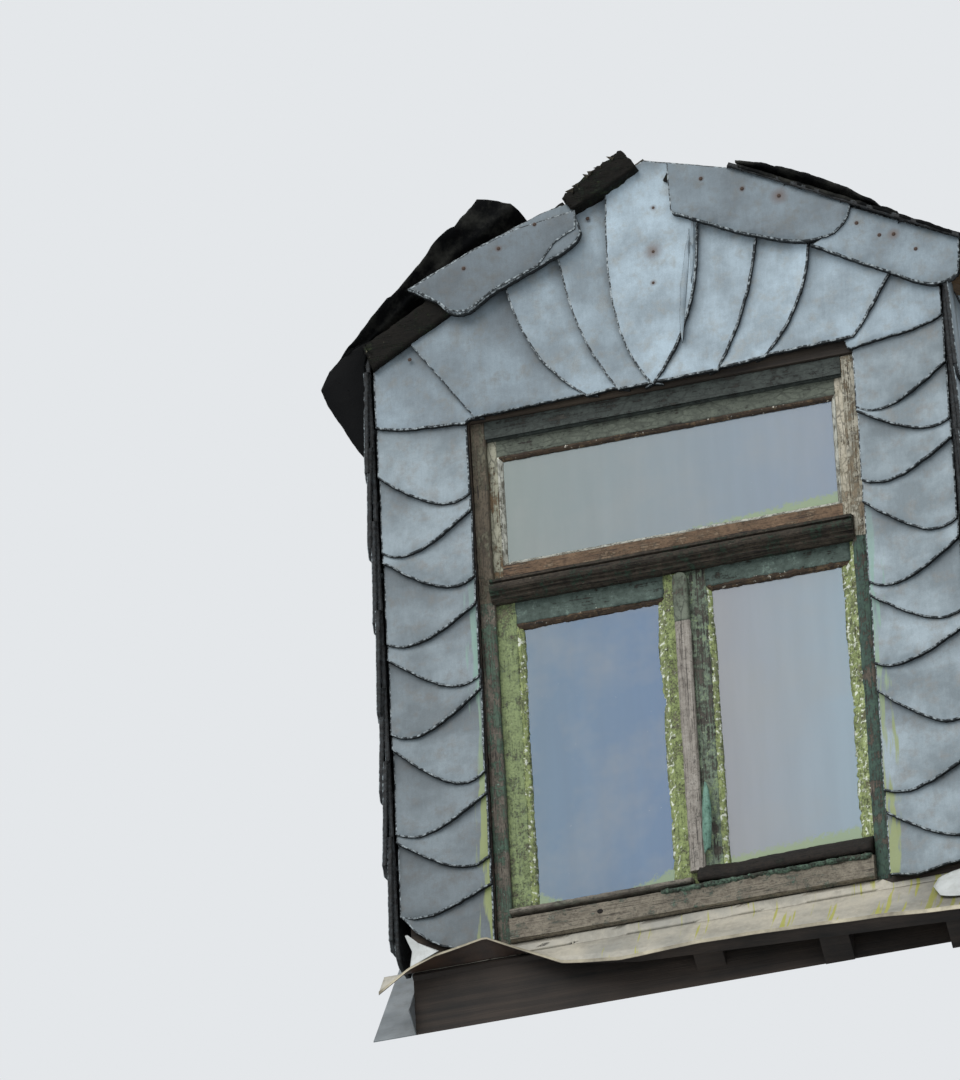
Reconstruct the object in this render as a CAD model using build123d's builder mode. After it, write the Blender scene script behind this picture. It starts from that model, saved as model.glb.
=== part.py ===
# Small gabled dormer window of timber, slates and zinc, on a main roof of 50 degrees.
# Millimetres. X runs to the right, Y runs back into the roof and Z runs up.
# The origin is the middle of the front sole's underside, which lies in the plane of the main rafters.
from build123d import *
import os
from math import cos, radians, sin, tan

os.makedirs("parts", exist_ok=True)

# Roofs
main_pitch = 50.0
dormer_pitch = 29.5
roof_cover = 14.0           # slates of the dormer roof
roof_board = 28.0
eaves_half = 700.0          # roof boards, from the middle to the eaves
cover_lap = 6.0             # slates past the boards at the eaves
verge_lap = 8.0             # slates past the verge slates at the front
felt = 5.0

# Timber frame
post_width = 100.0
post_depth = 80.0
stud_width = 56.0
sole_height = 90.0
header_height = 100.0
plate_height = 80.0
plate_rise = 163.0          # top of the wall plate above the window's head
rafter_depth = 90.0
rafter_width = 60.0
rafter_count = 4
rafter_spacing = 360.0
tail_length = 110.0
ridge_board_thickness = 30.0
ridge_board_depth = 120.0
cheek_sole_depth = 70.0
cheek_stud_width = 60.0
cheek_stud_count = 3
cheek_stud_spacing = 300.0
cheek_stud_first = 200.0

# Cladding
wall_board = 22.0
wall_slate = 16.0
cheek_under_slate = 16.0
cheek_slate_lap = 14.0      # outer, lapped slates of the cheek
cheek_slate_nose = 6.0      # how far these stand in front of the front slates
foot_lap = 12.0             # front slates below the window's foot
gable_lap = 3.0             # gable slates above the window's head
barge_thickness = 12.0
barge_depth = 62.0
verge_slate = 8.0
joint_width = 3.0
joint_depth = 5.0

# Window
window_half = 410.0
window_height = 1200.0
window_gap = 2.0
frame_recess = 22.0         # window frame behind the slate face
window_depth = 70.0
lip_depth = 14.0
jamb_face = 30.0
head_face = 42.0
rebate = 12.0
sash_gap = 1.0
sash_thickness = 42.0
transom_low = 775.0         # above the window's foot
transom_face = 55.0
transom_reach = 26.0
sill_height = 60.0
sill_reach = 20.0
meeting_x = 12.0
meeting_gap = 1.0
glass = 4.0
glass_step = 8.0            # glazing rebate, wider than the sight line
glass_inset = 10.0
top_members = (27.5, 27.5, 21.0, 44.0)      # left stile, right stile, bottom rail and top rail that show
left_members = (49.0, 45.0, 28.0, 53.0)
right_members = (60.0, 19.0, 36.0, 45.0)
strip_width = 32.0
strip_thickness = 14.0
strip_low = 96.0
weather_bar_height = 35.0
weather_bar_reach = 36.0

# Metal
sheet = 2.0
apron_drop = 25.0           # fold of the apron below the window's foot
apron_side = 60.0           # apron past the boarding
apron_board = 28.0
apron_bearers = 3
bearer_width = 60.0
board_setback = 12.0
upstand = 58.0
side_leg = 90.0
valley_leg = 150.0
capping_leg = 110.0
capping_sheet = 3.0

# Derived planes and levels
slope = tan(radians(main_pitch))
main_cos, main_sin = cos(radians(main_pitch)), sin(radians(main_pitch))
fall = tan(radians(dormer_pitch))
roof_cos, roof_sin = cos(radians(dormer_pitch)), sin(radians(dormer_pitch))
seat = Plane(origin=(0, 0, 0), x_dir=(1, 0, 0), z_dir=(0, -main_sin, main_cos))
front = -post_depth / 2
board_face = front - wall_board
slate_face = board_face - wall_slate
barge_face = slate_face - barge_thickness
verge_face = barge_face - verge_slate
roof_front = verge_face - verge_lap
window_foot = sole_height
window_head = window_foot + window_height
opening_half = window_half + window_gap
plate_inner = opening_half + stud_width
frame_half = plate_inner + post_width
board_half = frame_half + wall_board
slate_half = board_half + cheek_under_slate
cheek_half = slate_half + cheek_slate_lap
boards_under = roof_cover + roof_board
rafters_under = boards_under + rafter_depth
plate_top = window_head + plate_rise
plate_under = plate_top - plate_height
ridge_top = plate_top + fall * plate_inner + rafters_under / roof_cos
header_foot = window_head + window_gap
slates_foot = window_foot - foot_lap
gable_foot = window_head + gable_lap
eaves_run = eaves_half / roof_cos
barge_foot = roof_cover + barge_depth
far = 1800.0                # past the back of everything, before the main roof cuts it


def roof_z(x, depth=0.0):
    """Height of the layer that lies this deep, square to the slope, under the dormer roof's face."""
    return ridge_top - depth / roof_cos - fall * abs(x)


def verge(side, run, depth):
    """Front view point at a run down the slope from the ridge and a depth square to it."""
    return side * (run * roof_cos - depth * roof_sin), ridge_top - run * roof_sin - depth * roof_cos


def elevation(y):
    """Front view plane at depth y; an extrusion from it comes forward."""
    return Plane.XZ.offset(-y)


def roof_face(side):
    """Plane of the roof's face: its X runs down the slope."""
    return Plane(origin=(0, 0, ridge_top), x_dir=(side * roof_cos, 0, -roof_sin), z_dir=(side * roof_sin, 0, roof_cos))


def write(piece, label):
    piece.label = label
    export_step(piece, f"parts/{label}.step")


def slab(x0, x1, y0, y1, z0, z1, mode=Mode.ADD):
    """Upright block between two corners, added to the part in hand or cut from it."""
    with Locations(((x0 + x1) / 2, (y0 + y1) / 2, (z0 + z1) / 2)):
        Box(abs(x1 - x0), abs(y1 - y0), abs(z1 - z0), mode=mode)


def frontal(points, y0, y1):
    """Outline in the front view, from depth y0 back to depth y1."""
    with BuildSketch(elevation(y1)) as outline:
        with BuildLine():
            Polyline(*points, close=True)
        make_face()
    extrude(outline.sketch, amount=y1 - y0)


def lateral(points, x0, x1):
    """Outline in the side view, as (y, z), from x0 to x1."""
    with BuildSketch(Plane.YZ.offset(min(x0, x1))) as outline:
        with BuildLine():
            Polyline(*points, close=True)
        make_face()
    extrude(outline.sketch, amount=abs(x1 - x0))


def roof_layer(side, points, top, bottom):
    """Layer of the dormer roof from its outline as (run, y), mitred at the ridge and cut to the main roof."""
    with BuildSketch(roof_face(side).offset(-bottom)) as outline:
        with BuildLine():
            Polyline(*[(run, side * y) for run, y in points], close=True)
        make_face()
    extrude(outline.sketch, amount=bottom - top)
    split(bisect_by=Plane.YZ, keep=Keep.TOP if side > 0 else Keep.BOTTOM)
    split(bisect_by=seat, keep=Keep.TOP)


def slate_joints(arcs, face):
    """Grooves between slates, each an arc through three points of the front view."""
    for start, middle, end in arcs:
        with BuildSketch(elevation(face + joint_depth)) as groove:
            with BuildLine() as line:
                ThreePointArc(start, middle, end)
            trace(line.edges(), joint_width)
        extrude(groove.sketch, amount=2 * joint_depth, mode=Mode.SUBTRACT)


# Front frame
with BuildPart() as front_sole:
    slab(-frame_half, frame_half, front, -front, slope * front, sole_height)
    split(bisect_by=seat, keep=Keep.TOP)
write(front_sole.part, "front_sole")

with BuildPart() as window_header:
    slab(-plate_inner, plate_inner, front, -front, header_foot, header_foot + header_height)
write(window_header.part, "window_header")

# Ridge board, its back end cut to the main roof
with BuildPart() as ridge_board:
    half = ridge_board_thickness / 2
    top = roof_z(half, boards_under)
    slab(-half, half, front, far, top - ridge_board_depth, top)
    split(bisect_by=seat, keep=Keep.TOP)
write(ridge_board.part, "ridge_board")

tail = plate_top - roof_z(frame_half, boards_under)
tail_end = frame_half + tail_length
rafter_y = [front + rafter_width / 2 + i * rafter_spacing for i in range(rafter_count)]
stud_y = [cheek_stud_first + i * cheek_stud_spacing for i in range(cheek_stud_count)]
sole_rise = cheek_sole_depth / main_cos

for side, hand in ((-1, "left"), (1, "right")):
    with BuildPart() as corner_post:
        slab(side * plate_inner, side * frame_half, front, -front, sole_height, plate_under)
    write(corner_post.part, f"corner_post_{hand}")

    with BuildPart() as window_stud:
        slab(side * opening_half, side * plate_inner, front, -front, sole_height, header_foot)
    write(window_stud.part, f"window_stud_{hand}")

    with BuildPart() as wall_plate:
        slab(side * plate_inner, side * frame_half, front, far, plate_under, plate_top)
        split(bisect_by=seat, keep=Keep.TOP)
    write(wall_plate.part, f"wall_plate_{hand}")

    # Sole along the main rafters, with upright studs on it
    with BuildPart() as cheek_frame:
        back = plate_under / slope
        lateral(
            [(-front, -front * slope), (back, plate_under), (back - sole_rise / slope, plate_under),
             (-front, -front * slope + sole_rise)],
            side * plate_inner, side * frame_half,
        )
        for y in stud_y:
            y0, y1 = y - cheek_stud_width / 2, y + cheek_stud_width / 2
            lateral(
                [(y0, slope * y0 + sole_rise), (y1, slope * y1 + sole_rise), (y1, plate_under), (y0, plate_under)],
                side * plate_inner, side * frame_half,
            )
    write(cheek_frame.part, f"cheek_frame_{hand}")

    # Rafters, notched over the wall plate and thinned past it
    with BuildPart() as rafters:
        half = ridge_board_thickness / 2
        outline = [
            (half, roof_z(half, boards_under)),
            (tail_end, roof_z(tail_end, boards_under)),
            (tail_end, roof_z(tail_end, boards_under) + tail),
            (frame_half, plate_top),
            (plate_inner, plate_top),
            (half, roof_z(half, rafters_under)),
        ]
        for y in rafter_y:
            frontal([(side * x, z) for x, z in outline], y - rafter_width / 2, y + rafter_width / 2)
    write(rafters.part, f"rafters_{hand}")

    def notch_for_rafters(x0, x1):
        """Room for the rafter tails in the cladding of the cheek."""
        foot = roof_z(x1, boards_under) + tail
        for y in rafter_y:
            slab(side * x0, side * x1, y - rafter_width / 2, y + rafter_width / 2, foot, plate_top - 2 * tail,
                 mode=Mode.SUBTRACT)

    under_boards = roof_face(side).offset(-boards_under)
    with BuildPart() as cheek_boarding:
        lateral([(front, slope * front), (far, slope * far), (front, slope * far)],
                side * frame_half, side * board_half)
        split(bisect_by=under_boards, keep=Keep.BOTTOM)
        notch_for_rafters(frame_half, board_half)
    write(cheek_boarding.part, f"cheek_boarding_{hand}")

    # Under slates behind the front slates, and lapped slates that stand past them at the corner
    with BuildPart() as cheek_slates:
        foot = upstand / main_cos + sheet
        nose = slate_face - cheek_slate_nose
        under_barge = roof_z(cheek_half, barge_foot)
        edge = [(board_face, slope * board_face + foot), (far, slope * far + foot)]
        lateral([(board_face, slope * far), *edge], side * board_half, side * slate_half)
        lateral([(slate_face, slope * far), (slate_face, under_barge), (nose, under_barge), (nose, slates_foot),
                 (board_face, slates_foot), *edge], side * slate_half, side * cheek_half)
        split(bisect_by=under_boards, keep=Keep.BOTTOM)
        notch_for_rafters(board_half, cheek_half)
    write(cheek_slates.part, f"cheek_slates_{hand}")

    # Boards beside the window
    with BuildPart() as front_board_side:
        slab(side * opening_half, side * board_half, board_face, front, sole_height, header_foot)
    write(front_board_side.part, f"front_board_{hand}")

    # Zinc along the foot of the cheek, with a leg on the main roof
    with BuildPart(seat) as side_flashing:
        low = board_face / main_cos
        high = roof_z(eaves_half, boards_under) / main_sin - upstand
        with Locations((side * (board_half + side_leg / 2), (low + high) / 2, sheet / 2)):
            Box(side_leg, high - low, sheet)
        with Locations((side * (board_half + sheet / 2), (low + high) / 2, upstand / 2)):
            Box(sheet, high - low, upstand)
    write(side_flashing.part, f"side_flashing_{hand}")

    # Zinc in the valley: one leg on the dormer's boards, one on the main roof
    with BuildPart() as valley_flashing:
        roof_layer(side, [(-upstand, 0), (eaves_run, 0), (eaves_run, far), (-upstand, far)],
                   roof_cover - sheet, roof_cover)
        split(bisect_by=seat.offset(upstand), keep=Keep.BOTTOM)
        edge = side * (eaves_half - roof_cover * roof_sin)
        v0, v1 = roof_z(0, roof_cover) / main_sin, roof_z(edge, roof_cover) / main_sin
        with BuildSketch(seat):
            with BuildLine():
                Polyline((0, v0), (edge, v1), (edge + side * valley_leg * 0.6, v1 + valley_leg * 0.8),
                         (0, v0 + valley_leg * 1.25), close=True)
            make_face()
        extrude(amount=sheet)
    write(valley_flashing.part, f"valley_flashing_{hand}")

# Boards of the gable, and the board below the window
with BuildPart() as front_board_gable:
    frontal([(-board_half, header_foot), (board_half, header_foot), (board_half, roof_z(board_half, boards_under)),
             (0, roof_z(0, boards_under)), (-board_half, roof_z(board_half, boards_under))], board_face, front)
write(front_board_gable.part, "front_board_gable")

with BuildPart() as front_board_bottom:
    slab(-board_half, board_half, board_face, front, slope * board_face, sole_height)
    split(bisect_by=seat, keep=Keep.TOP)
write(front_board_bottom.part, "front_board_bottom")

# Roof boards and slates as (run down the slope, y). Both are broken away at the front of the ridge,
# a mossy stub of boards stands out left of it, and the left slates are gone along the verge.
ridge_break = 20.0
right_break = 210.0
board_stub = (18.0, 196.0)
split_end = 14.0
torn_slates = [(180, 40), (265, 150), (520, 200), (700, 130)]
boards_right = [(-far, ridge_break), (right_break, ridge_break), (right_break + split_end, slate_face)]
boards_left = [(-far, ridge_break), (board_stub[0], ridge_break), (board_stub[0], roof_front),
               (board_stub[1], roof_front + split_end), (board_stub[1], slate_face)]
cover_right = [(-far, ridge_break + split_end), (right_break - split_end, ridge_break + split_end),
               (right_break, roof_front)]
cover_left = [(-far, torn_slates[0][1]), *torn_slates, (eaves_run + cover_lap, torn_slates[0][1])]
cover_run = eaves_run + cover_lap

for side, hand, boards, cover in ((-1, "left", boards_left, cover_left), (1, "right", boards_right, cover_right)):
    with BuildPart() as roof_boarding:
        roof_layer(side, [*boards, (eaves_run, slate_face), (eaves_run, far), (-far, far)], roof_cover, boards_under)
    write(roof_boarding.part, f"roof_boarding_{hand}")

    last_y = roof_front if side > 0 else cover[-1][1]
    with BuildPart() as roof_slates:
        roof_layer(side, [*cover, (cover_run, last_y + cover_lap), (cover_run, far), (-far, far)], 0, roof_cover)
        split(bisect_by=seat.offset(upstand), keep=Keep.TOP)
    write(roof_slates.part, f"roof_slates_{hand}")

# Tarred felt of the left slope, torn loose at the verge and curled up, as (run, depth)
felt_edge = [(eaves_run + 14, roof_cover - felt), (669, -38), (350, -121)]
felt_seat = [(eaves_run + 10, roof_cover - felt), (669, roof_cover - 2 * felt), (320, roof_cover - felt)]
felt_back = torn_slates[0][1] - 5
with BuildPart() as roofing_felt:
    for points, y in ((felt_edge, barge_face + sheet), (felt_seat, felt_back)):
        band = points + [(run, depth + felt) for run, depth in reversed(points)]
        with BuildSketch(elevation(y)):
            with BuildLine():
                Polyline(*[verge(-1, run, depth) for run, depth in band], close=True)
            make_face()
    loft(ruled=True)
write(roofing_felt.part, "roofing_felt_left")

# Barge boards, and the large slates on them, as (run, depth); one slate hangs loose on the left
barge_top = roof_cover + sheet
barge_right = [(90, boards_under), (right_break + 40, barge_top), (eaves_run, barge_top), (eaves_run, barge_foot),
               (90, barge_foot)]
barge_left = [(board_stub[1] + split_end, barge_top), (eaves_run, barge_top), (eaves_run, barge_foot),
              (board_stub[1] + split_end, barge_foot)]
upper_right = [(81, 39), (right_break, 26), (499, barge_top), (497, 60), (483, 102), (450, 120), (147, 143)]
lower_right = [(504, barge_top), (eaves_run - 9, barge_top), (eaves_run - 6, 85), (783, 114), (754, 125),
               (456, 126), (488, 107), (502, 62)]
loose_left = [(579, -21), (529, 100), (500, 112), (294, 143), (231, 135), (221, 102), (203, 35)]

for side, hand, barge, slates in ((-1, "left", barge_left, [loose_left]),
                                  (1, "right", barge_right, [upper_right, lower_right])):
    with BuildPart() as barge_board:
        frontal([verge(side, run, depth) for run, depth in barge], barge_face, slate_face)
    write(barge_board.part, f"barge_board_{hand}")

    with BuildPart() as verge_slates:
        for points in slates:
            frontal([verge(side, run, depth) for run, depth in points], verge_face, barge_face)
    write(verge_slates.part, f"verge_slates_{hand}")

# Slates of the gable: a fan of ten, with curved joints that run down to the window's head
fan = [
    ((-523, 204), (-452, 107), (-395, 3)),
    ((-306, 258), (-252, 110), (-152, 5)),
    ((-197, 326), (-163, 155), (-84, 5)),
    ((-88, 430), (-92, 162), (-27, 17)),
    ((102, 355), (83, 107), (11, 11)),
    ((226, 293), (207, 189), (129, 7)),
    ((335, 229), (321, 166), (229, 17)),
    ((493, 140), (449, 68), (418, 28)),
    ((598, 41), (504, 19), (410, 2)),
]
with BuildPart() as gable_slates:
    frontal([(-slate_half, gable_foot), (slate_half, gable_foot), (slate_half, roof_z(slate_half, boards_under)),
             (0, roof_z(0, boards_under)), (-slate_half, roof_z(slate_half, boards_under))], slate_face, board_face)
    slate_joints([[(x, window_head + z) for x, z in arc] for arc in fan], slate_face)
write(gable_slates.part, "gable_slates")

# Slates beside the window: joints that sag by turns to the left and to the right. A sag's points are shares
# of the strip's width, from its outer edge, and of the course's height, downwards.
course = 207.0
first_course_left = 98.0
first_course_right = 69.0
sags_left = [((0, 0), (0.58, 0.35), (1, 0.38)), ((1, 0.56), (0.49, 0.80), (0, 0.89))]
sags_right = [((0, 0), (0.55, 0.36), (1, 0.32)), ((1, 0.42), (0.55, 0.56), (0, 0.70))]
corner_cut = 130.0          # rounded lower corner of the left strip
corner_bend = (0.65, 0.2)


def sagging_joints(side, first_course, sags):
    """Joints of one strip, course by course, down to the slates' foot."""
    strip = slate_half - opening_half
    z = window_head - first_course
    joints = []
    while z - course > slates_foot:
        joints += [[(side * (slate_half - across * strip), z - down * course) for across, down in sag] for sag in sags]
        z -= course
    return joints


with BuildPart() as front_slates_left:
    bend_x, bend_z = corner_bend
    frontal([(-opening_half, gable_foot), (-slate_half, gable_foot), (-slate_half, slates_foot + 0.8 * corner_cut),
             (-slate_half + bend_x * corner_cut, slates_foot + bend_z * corner_cut),
             (-slate_half + corner_cut, slates_foot), (-opening_half, slates_foot)], slate_face, board_face)
    slate_joints(sagging_joints(-1, first_course_left, sags_left), slate_face)
write(front_slates_left.part, "front_slates_left")

with BuildPart() as front_slates_right:
    slab(opening_half, slate_half, slate_face, board_face, slates_foot, gable_foot)
    slate_joints(sagging_joints(1, first_course_right, sags_right), slate_face)
write(front_slates_right.part, "front_slates_right")

# Ridge capping of folded zinc, gone at the front
with BuildPart() as ridge_capping:
    reach = capping_leg * roof_cos
    frontal([(0, roof_z(0, -capping_sheet)), (reach, roof_z(reach, -capping_sheet)), (reach, roof_z(reach)),
             (0, roof_z(0)), (-reach, roof_z(reach)), (-reach, roof_z(reach, -capping_sheet))],
            torn_slates[0][1] + split_end, far)
    split(bisect_by=seat.offset(upstand), keep=Keep.TOP)
write(ridge_capping.part, "ridge_capping")

# Zinc apron below the window, short at the left and long at the right, on a board with bearers
apron_crease = window_foot - apron_drop
apron_half = board_half + apron_side
crease_y = board_face - sheet
crease_v = crease_y * main_cos + apron_crease * main_sin
crease_h = -crease_y * main_sin + apron_crease * main_cos
skirt = [(-apron_half, 25), (-300, 25), (-112, 86), (apron_half, 172)]

with BuildPart() as apron_flashing:
    slab(-board_half, board_half, crease_y, board_face, apron_crease, slates_foot)
    slab(-opening_half, opening_half, crease_y, board_face, slates_foot, window_foot - sheet)
    with BuildSketch(seat.offset(crease_h - sheet)):
        with BuildLine():
            Polyline((-apron_half, crease_v + sheet), *[(x, crease_v - length) for x, length in skirt],
                     (apron_half, crease_v + sheet), close=True)
        make_face()
    extrude(amount=sheet)
    split(bisect_by=elevation(board_face), keep=Keep.TOP)
write(apron_flashing.part, "apron_flashing")

# A plank under the skirt, and blocks under its long end
with BuildPart() as apron_boards:
    under = crease_h - sheet - apron_board
    (short_x, short), (middle_x, middle), (long_x, long) = skirt[1:]
    rate = (long - middle) / (long_x - middle_x)
    with BuildSketch(seat.offset(under)):
        with BuildLine():
            Polyline((-board_half, crease_v + sheet), (-board_half, crease_v - short + board_setback),
                     (short_x, crease_v - short + board_setback), (middle_x, crease_v - middle + board_setback),
                     (board_half, crease_v - long + 2 * board_setback), (board_half, crease_v + sheet), close=True)
        make_face()
    extrude(amount=apron_board)
    for i in range(apron_bearers):
        x = bearer_width / 2 + i * (board_half - bearer_width) / (apron_bearers - 1)
        low = crease_v - middle - rate * (x - middle_x) + 2 * board_setback
        with BuildSketch(seat):
            with Locations((x, (low + crease_v) / 2)):
                Rectangle(bearer_width, crease_v - low)
        extrude(amount=under)
    split(bisect_by=elevation(board_face), keep=Keep.TOP)
write(apron_boards.part, "apron_board")

# Window: frame, transom and sill
window_face = slate_face + frame_recess
lip_back = window_face + lip_depth
window_back = window_face + window_depth
sash_back = lip_back + sash_thickness
sill_top = window_foot + sill_height
frame_inner = window_half - jamb_face
rebate_half = frame_inner + rebate
head_inner = window_head - head_face
transom_foot = window_foot + transom_low
transom_top = transom_foot + transom_face

with BuildPart() as window_frame:
    slab(-window_half, window_half, window_face, window_back, window_foot, window_head)
    slab(-frame_inner, frame_inner, window_face, lip_back, window_foot, head_inner, mode=Mode.SUBTRACT)
    slab(-rebate_half, rebate_half, lip_back, window_back, window_foot, head_inner + rebate, mode=Mode.SUBTRACT)
write(window_frame.part, "window_frame")

# The moulding, from its back edge over the top: slope, fillet, groove, reed, groove and drip
with BuildPart() as transom:
    nose = window_face - transom_reach
    moulding = [(window_face, 55), (nose + 5, 49), (nose + 5, 43), (nose + 10, 41), (nose + 10, 38), (nose + 2, 36),
                (nose, 31), (nose, 25), (nose + 3, 20), (nose + 9, 18), (nose + 9, 14), (nose + 15, 12),
                (nose + 15, 6), (window_face, 0)]
    lateral([(lip_back, transom_foot), (lip_back, transom_top),
             *[(y, transom_foot + z * transom_face / 55) for y, z in moulding]], -frame_inner, frame_inner)
    slab(-rebate_half, rebate_half, lip_back, window_back, transom_foot + rebate, transom_top - rebate)
write(transom.part, "transom")

with BuildPart() as window_sill:
    nose = window_face - sill_reach
    lateral([(lip_back, window_foot), (lip_back, sill_top), (window_face, sill_top), (nose, sill_top - 9),
             (nose, window_foot + 4), (nose + 5, window_foot), (nose + 8, window_foot), (nose + 9, window_foot + 4),
             (nose + 13, window_foot + 4), (nose + 14, window_foot)], -frame_inner, frame_inner)
    slab(-rebate_half, rebate_half, lip_back, window_back, window_foot, sill_top)
write(window_sill.part, "window_sill")


def sight_in(x0, x1, z0, z1, members):
    """The glass that shows inside the stiles and rails of an opening."""
    left_stile, right_stile, bottom_rail, top_rail = members
    return x0 + left_stile, x1 - right_stile, z0 + bottom_rail, z1 - top_rail


top_sight = sight_in(-frame_inner, frame_inner, transom_top, head_inner, top_members)
left_sight = sight_in(-frame_inner, meeting_x, sill_top, transom_foot, left_members)
right_sight = sight_in(meeting_x, frame_inner, sill_top, transom_foot, right_members)


def sash(x0, x1, z0, z1, sight):
    """Glazed leaf: a frame of one thickness with a glazing rebate on the outside."""
    sx0, sx1, sz0, sz1 = sight
    slab(x0, x1, lip_back, sash_back, z0, z1)
    slab(sx0, sx1, lip_back, sash_back, sz0, sz1, mode=Mode.SUBTRACT)
    slab(sx0 - glass_step, sx1 + glass_step, lip_back, lip_back + glass_inset + glass,
         sz0 - glass_step, sz1 + glass_step, mode=Mode.SUBTRACT)


leaf_half = rebate_half - sash_gap
leaf_foot = sill_top + sash_gap
leaf_top = transom_foot + rebate - sash_gap
with BuildPart() as top_sash:
    sash(-leaf_half, leaf_half, transom_top - rebate + sash_gap, head_inner + rebate - sash_gap, top_sight)
write(top_sash.part, "top_sash")

with BuildPart() as casement_left:
    sash(-leaf_half, meeting_x - meeting_gap / 2, leaf_foot, leaf_top, left_sight)
write(casement_left.part, "casement_left")

with BuildPart() as casement_right:
    sash(meeting_x + meeting_gap / 2, leaf_half, leaf_foot, leaf_top, right_sight)
write(casement_right.part, "casement_right")

with BuildPart() as window_glass:
    lap = glass_step - sash_gap
    pane_y = lip_back + glass_inset
    for x0, x1, z0, z1 in (top_sight, left_sight, right_sight):
        slab(x0 - lap, x1 + lap, pane_y, pane_y + glass, z0 - lap, z1 + lap)
write(window_glass.part, "window_glass")

# Cover strip over the meeting stiles, rounded in front and at its head
with BuildPart() as cover_strip:
    x0, x1 = meeting_x - strip_width / 2, meeting_x + strip_width / 2
    z0, z1 = window_foot + strip_low, transom_foot - 2 * sash_gap
    with BuildSketch(elevation(lip_back)):
        with BuildLine():
            Polyline((x0, z1 - strip_width / 2), (x0, z0), (x1, z0), (x1, z1 - strip_width / 2))
            ThreePointArc((x1, z1 - strip_width / 2), (meeting_x, z1), (x0, z1 - strip_width / 2))
        make_face()
    extrude(amount=strip_thickness)
    fillet(cover_strip.faces().sort_by(Axis.Y)[0].edges(), strip_thickness / 3)
write(cover_strip.part, "cover_strip")

# Weather bars: rounded on top, with a drip groove below
with BuildPart() as weather_bars:
    nose = lip_back - weather_bar_reach
    top = leaf_foot + weather_bar_height
    for x0, x1 in ((-frame_inner + 2, meeting_x - 4), (meeting_x + 4, frame_inner - 2)):
        with BuildSketch(Plane.YZ.offset(x0)):
            with BuildLine():
                Polyline((nose, leaf_foot + 12), (nose, leaf_foot), (nose + 5, leaf_foot), (nose + 6, leaf_foot + 4),
                         (nose + 10, leaf_foot + 4), (nose + 11, leaf_foot), (lip_back, leaf_foot),
                         (lip_back, top), (lip_back - 8, top))
                RadiusArc((lip_back - 8, top), (nose, leaf_foot + 12), -40)
            make_face()
        extrude(amount=x1 - x0)
write(weather_bars.part, "weather_bars")
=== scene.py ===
# %% [markdown]
# # A slated dormer window, dressed for a picture
# A dormer is a small upright window that stands in a sloping roof. This one is old: its front is covered
# with large slates cut by hand, its paint peels, and part of its roof is torn off.
# The timber, the sheet metal and the window's main pieces come ready made from the frame. This lesson makes
# what the weather and the slater's hammer did to them.

# %% Load the frame
import random
from math import ceil, cos, pi, radians, sin, tan

import bmesh
import bpy
from mathutils import Matrix, Vector, noise
from mathutils.geometry import interpolate_bezier
from mathutils.kdtree import KDTree


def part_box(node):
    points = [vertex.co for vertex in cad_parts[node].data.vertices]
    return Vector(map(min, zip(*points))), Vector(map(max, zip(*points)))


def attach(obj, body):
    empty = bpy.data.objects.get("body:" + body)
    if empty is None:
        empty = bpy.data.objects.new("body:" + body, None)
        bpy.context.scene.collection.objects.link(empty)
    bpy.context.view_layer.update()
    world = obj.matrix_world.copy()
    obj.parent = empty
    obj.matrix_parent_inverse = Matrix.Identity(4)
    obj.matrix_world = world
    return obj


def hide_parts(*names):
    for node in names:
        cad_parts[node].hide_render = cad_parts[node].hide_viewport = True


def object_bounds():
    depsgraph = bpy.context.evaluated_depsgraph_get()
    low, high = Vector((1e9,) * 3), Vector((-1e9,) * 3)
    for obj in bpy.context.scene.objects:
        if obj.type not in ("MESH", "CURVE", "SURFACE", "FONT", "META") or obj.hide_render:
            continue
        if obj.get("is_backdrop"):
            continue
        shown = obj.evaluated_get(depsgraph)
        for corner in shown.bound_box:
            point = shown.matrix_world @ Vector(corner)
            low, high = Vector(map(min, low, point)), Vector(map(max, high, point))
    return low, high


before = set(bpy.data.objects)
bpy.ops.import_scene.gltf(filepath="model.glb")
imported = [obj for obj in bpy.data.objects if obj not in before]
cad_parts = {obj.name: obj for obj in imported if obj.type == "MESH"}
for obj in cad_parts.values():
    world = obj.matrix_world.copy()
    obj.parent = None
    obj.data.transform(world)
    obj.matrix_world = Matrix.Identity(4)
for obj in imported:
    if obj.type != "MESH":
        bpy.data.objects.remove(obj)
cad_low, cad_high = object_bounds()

# Without a seed of its own, the vector noise would give other shapes in every run.
noise.seed_set(1)
print(len(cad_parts), "pieces of the frame")

# %% [markdown]
# ## A ruler
# A maker measures a front from one corner. Here all heights count in millimetres from the window's foot,
# widths from the middle, and depths from the face of the slates, forwards. One function turns such a place
# into a point of the scene, which is in metres.

# %% The ruler
mm = 0.001
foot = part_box("window_frame")[0].z
slate_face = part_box("gable_slates")[0].y


def at(x, z, forward=0.0):
    """The point at a width and a height, in millimetres, and so far in front of the slates' face."""
    return Vector((x * mm, slate_face - forward * mm, foot + z * mm))


def forward_of(node, back=False):
    """How far the front, or the back, of a piece of the frame lies in front of the slates' face."""
    low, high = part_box(node)
    return (slate_face - (high.y if back else low.y)) / mm


window_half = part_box("window_frame")[1].x / mm
window_head = (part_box("window_frame")[1].z - foot) / mm
front_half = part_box("gable_slates")[1].x / mm
print("window", round(2 * window_half), "by", round(window_head), "mm, front", round(2 * front_half),
      "mm wide")

# %% [markdown]
# ## Colours and nodes
# Colours are written as a painter's swatch, in sRGB hex, and turned to the linear values that light works
# with. One small function adds a shader node, with its own settings and whatever feeds its sockets, and hands
# back the output that the next node reads.

# %% Colours and nodes


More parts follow.
